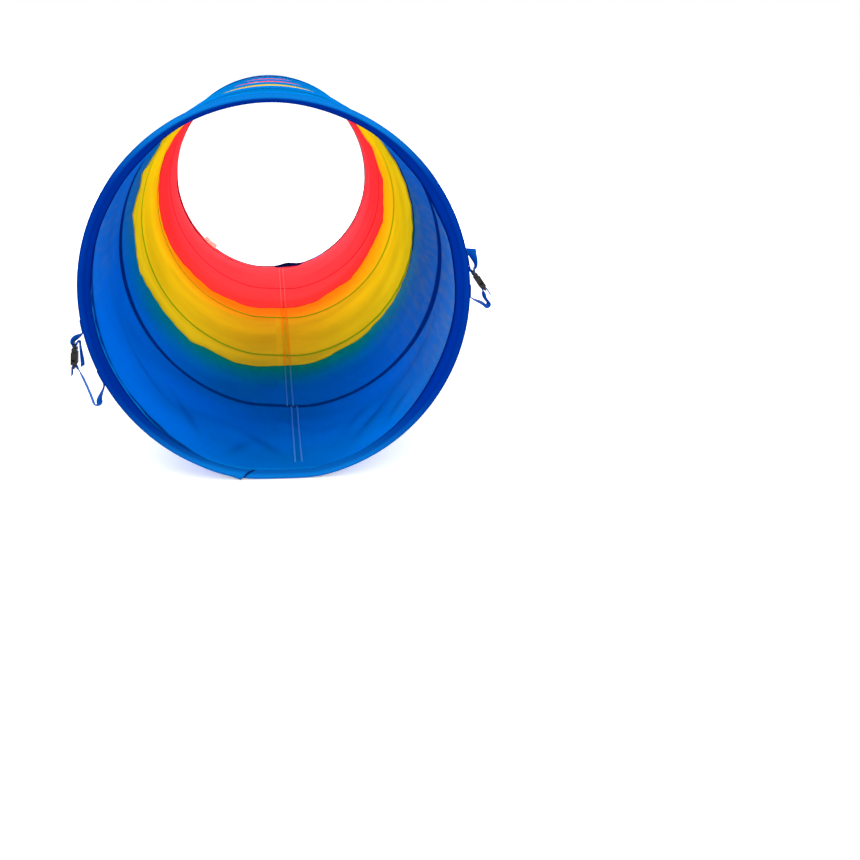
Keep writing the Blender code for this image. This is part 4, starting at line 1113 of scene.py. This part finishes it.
def webbing(name, stretches, body, node):
    """Width direction = cos(twist) * Y + sin(twist) * (tangent x Y). The section is a superellipse."""
    centres = np.concatenate([stretches[0][0]] + [points[1:] for points, _ in stretches[1:]])
    twists = np.radians(np.concatenate([stretches[0][1]] + [turns[1:] for _, turns in stretches[1:]]))
    ahead = np.gradient(centres, axis=0)
    ahead /= np.linalg.norm(ahead, axis=1)[:, None]
    along_tunnel = np.array((0.0, 1.0, 0.0))
    width = np.cos(twists)[:, None] * along_tunnel + np.sin(twists)[:, None] * np.cross(ahead, along_tunnel)
    width -= (width * ahead).sum(1)[:, None] * ahead
    width /= np.linalg.norm(width, axis=1)[:, None]
    thick = np.cross(width, ahead)
    turned = np.arange(SIDES) * 2 * np.pi / SIDES
    wide = WEBBING_WIDTH / 2 * np.sign(np.cos(turned)) * np.abs(np.cos(turned)) ** SQUARE_WIDE
    deep = WEBBING / 2 * np.sign(np.sin(turned)) * np.abs(np.sin(turned)) ** SQUARE_DEEP
    points = centres[:, None] + wide[None, :, None] * width[:, None] + deep[None, :, None] * thick[:, None]
    gone = np.concatenate(((0,), np.cumsum(np.linalg.norm(np.diff(centres, axis=0), axis=1))))
    u = wide[None, :] + 0 * gone[:, None]
    v = gone[:, None] + 0 * u
    mesh = grid_mesh(name, *np.moveaxis(points, -1, 0), True, u, v, capped=True)
    add_piece(mesh, webbing_weave, body, [node])
    print(f"  {gone[-1]:.4f} m long")


# %% Half circles and twists
def half_turn(centre, outward, onward, radius, begin=0):
    """Half a circle from one side of centre to the other, by way of onward. It may begin late."""
    turned = np.radians(np.linspace(begin, 180, 25))[:, None]
    return centre + radius * (np.cos(turned) * outward + np.sin(turned) * onward)


def level(line):
    """No twist at all."""
    return np.zeros(len(line))


def wavering(most, line):
    """No twist at the two ends of a line, and nearly the most over its middle: a sine to the power 0.55."""
    return most * np.abs(np.sin(np.linspace(0, np.pi, len(line)))) ** 0.55


def growing(most, line):
    """More and more twist along a line."""
    return most * smooth(np.linspace(0, 1, len(line)))


def easing(most, line):
    """The twist that was kept so far, let go over a line's last 40 %."""
    return most * (1 - smooth((np.linspace(0, 1, len(line)) - 0.6) / 0.4))


# %% [markdown]
# ## The two straps
# The upper webbing is sewn to the hem, goes round the plug's bar and ends in a short tail. The lower one
# is sewn on further down, hangs in a loop and comes up round the housing's bar. Both buckles keep their
# CAD shape, with a finer plastic.

# %% Roots of the straps
HOUSING_LENGTH, PLUG_LENGTH, BAR, TURN = 0.0207205, 0.0102205, 0.0020, 0.0026205
SEWN_END, KNEE = 0.014, 0.0016
FEED_PULL, TAIL_PULL, LOOP_PULL = 0.024, 0.026, 0.020
HUMP, BACK_END = 0.002, 0.010
ON_HEM = MOUTH_RADIUS + AIR + WEBBING / 2


def at_mouth(side, angle, radius):
    """A point over the near hem's middle, at this angle towards the strap's own side."""
    return np.array((0, NEAR + HEM_WIDTH / 2, AXIS_HEIGHT)) + direction(np.float64(-side * angle)) * radius


def leaving(side, angle, turned_out):
    """Webbing's first bend below its sewn end, and the direction it then has."""
    outward = direction(np.float64(-side * angle))
    down = side * np.cross((0, 1, 0), outward)
    root = at_mouth(side, angle, ON_HEM)
    turned = math.radians(turned_out)
    away = math.cos(turned) * down + math.sin(turned) * outward
    knee = root + down * KNEE + away * KNEE
    return curve(root + down * AIR, down * 3 * KNEE, knee, away * 3 * KNEE, 8), away


def sewn_end(side, label, which, angle):
    """A flat patch of webbing that lies on the hem above its root, bent with the ring."""
    back = np.linspace(0, math.degrees(SEWN_END / MOUTH_RADIUS), 15)
    place = np.array((0, NEAR + HEM_WIDTH / 2, AXIS_HEIGHT))
    line = place + direction(-side * (angle + back)) * ON_HEM
    webbing(f"{label}_{which}_patch", [(line, level(line))], "near_end", f"{label}_{which}_sewn_end")


def onto_bar(bar, face, up, late):
    """The wrap round a buckle's bar from its fed face, late degrees in, and the way the webbing then goes."""
    turned = math.radians(late)
    return half_turn(bar, face, up, TURN, late), math.cos(turned) * up - math.sin(turned) * face


# %% Straps
def strap(label, side, roots, leaves, buckle, inside, tail_end, loop, twists, begins):
    """roots are the angles of the two sewn ends, upper then lower, and leaves how far the webbing turns
    outwards there. buckle is (angle, stand-off, lean) and loop (angle, stand-off, radius, lean). inside
    says that the webbing comes onto the plug's bar from the tunnel's side. twists belong to the feed, the
    loop and the tail, and begins say how many degrees late the webbing comes onto each bar."""
    lean = math.radians(buckle[2])
    up = np.array((-side * math.sin(lean), 0, math.cos(lean)))
    outward = np.array((side * math.cos(lean), 0, math.sin(lean)))
    joint = at_mouth(side, buckle[0], MOUTH_RADIUS + buckle[1]) + up * (HOUSING_LENGTH - PLUG_LENGTH) / 2

    face = -outward if inside else outward
    start, away = leaving(side, roots[0], leaves[0])
    wrap, onto = onto_bar(joint + up * (PLUG_LENGTH - BAR / 2), face, -up, begins[0])
    feed = curve(start[-1], away * FEED_PULL, wrap[0], onto * FEED_PULL, 30)
    stretches = [(start, level(start)), (feed, wavering(twists[0], feed)), (wrap, level(wrap))]
    if inside:
        tail = curve(wrap[-1], outward * TAIL_PULL, tail_end, np.array((0, 0, TAIL_PULL)), 30)
    else:
        hump = half_turn(wrap[-1] + up * HUMP - face * HUMP, face, up, HUMP)
        hump = np.concatenate((wrap[-1:], hump))
        tail = curve(hump[-1], -up * TAIL_PULL, tail_end, -up * TAIL_PULL, 30)
        stretches.append((hump, level(hump)))
    stretches.append((tail, growing(twists[2], tail)))
    webbing(f"{label}_upper_band", stretches, f"{label}_strap", f"{label}_upper_webbing")

    start, away = leaving(side, roots[1], leaves[1])
    turned = math.radians(loop[3])
    tip = np.array((side * math.sin(turned), 0, -math.cos(turned)))
    sideways = np.array((side * math.cos(turned), 0, math.sin(turned)))
    hanging = half_turn(at_mouth(side, loop[0], MOUTH_RADIUS + loop[1]), -sideways, tip, loop[2])
    fall = curve(start[-1], away * LOOP_PULL, hanging[0], tip * LOOP_PULL, 30)
    wrap, onto = onto_bar(joint - up * (HOUSING_LENGTH - BAR / 2), -outward, up, begins[1])
    rise = curve(hanging[-1], -tip * 2 * LOOP_PULL, wrap[0], onto * LOOP_PULL, 40)
    back = wrap[-1] - up * np.linspace(0, BACK_END, 8)[:, None]
    stretches = [(start, level(start)), (fall, growing(twists[1], fall))]
    stretches += [(hanging, level(hanging) + twists[1]), (rise, easing(twists[1], rise))]
    stretches += [(wrap, level(wrap)), (back, level(back))]
    webbing(f"{label}_lower_band", stretches, f"{label}_strap_housing", f"{label}_lower_webbing")
    sewn_end(side, label, "upper", roots[0])
    sewn_end(side, label, "lower", roots[1])


strap(
    "left", -1, roots=(79.5, 63.8), leaves=(60, 10), buckle=(73.3, 0.0195, 4), inside=False,
    tail_end=at_mouth(-1, 69.9, MOUTH_RADIUS + 0.0150), loop=(59.2, 0.0223, 0.0037, -14),
    twists=(28, 20, 10), begins=(0, 45),
)
strap(
    "right", 1, roots=(99.4, 88.5), leaves=(5, 50), buckle=(93.1, 0.0114, 34), inside=True,
    tail_end=at_mouth(1, 102.3, MOUTH_RADIUS + 0.0072), loop=(86.3, 0.0225, 0.0030, 42),
    twists=(5, 12, 45), begins=(-34, 0),
)

# %% [markdown]
# ## Pieces that keep their CAD shape
# The buckles' halves and the crimps on the wire are hard and have their shape already, so only their
# material changes: it is put into the slot that the CAD object brings with it.

# %% Finishes of the CAD pieces that stay
for node in ("left_buckle_plug", "left_buckle_housing", "right_buckle_plug", "right_buckle_housing"):
    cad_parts[node].material_slots[0].material = buckle_plastic
for node in ("near_ferrule", "far_ferrule"):
    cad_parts[node].material_slots[0].material = crimp_steel
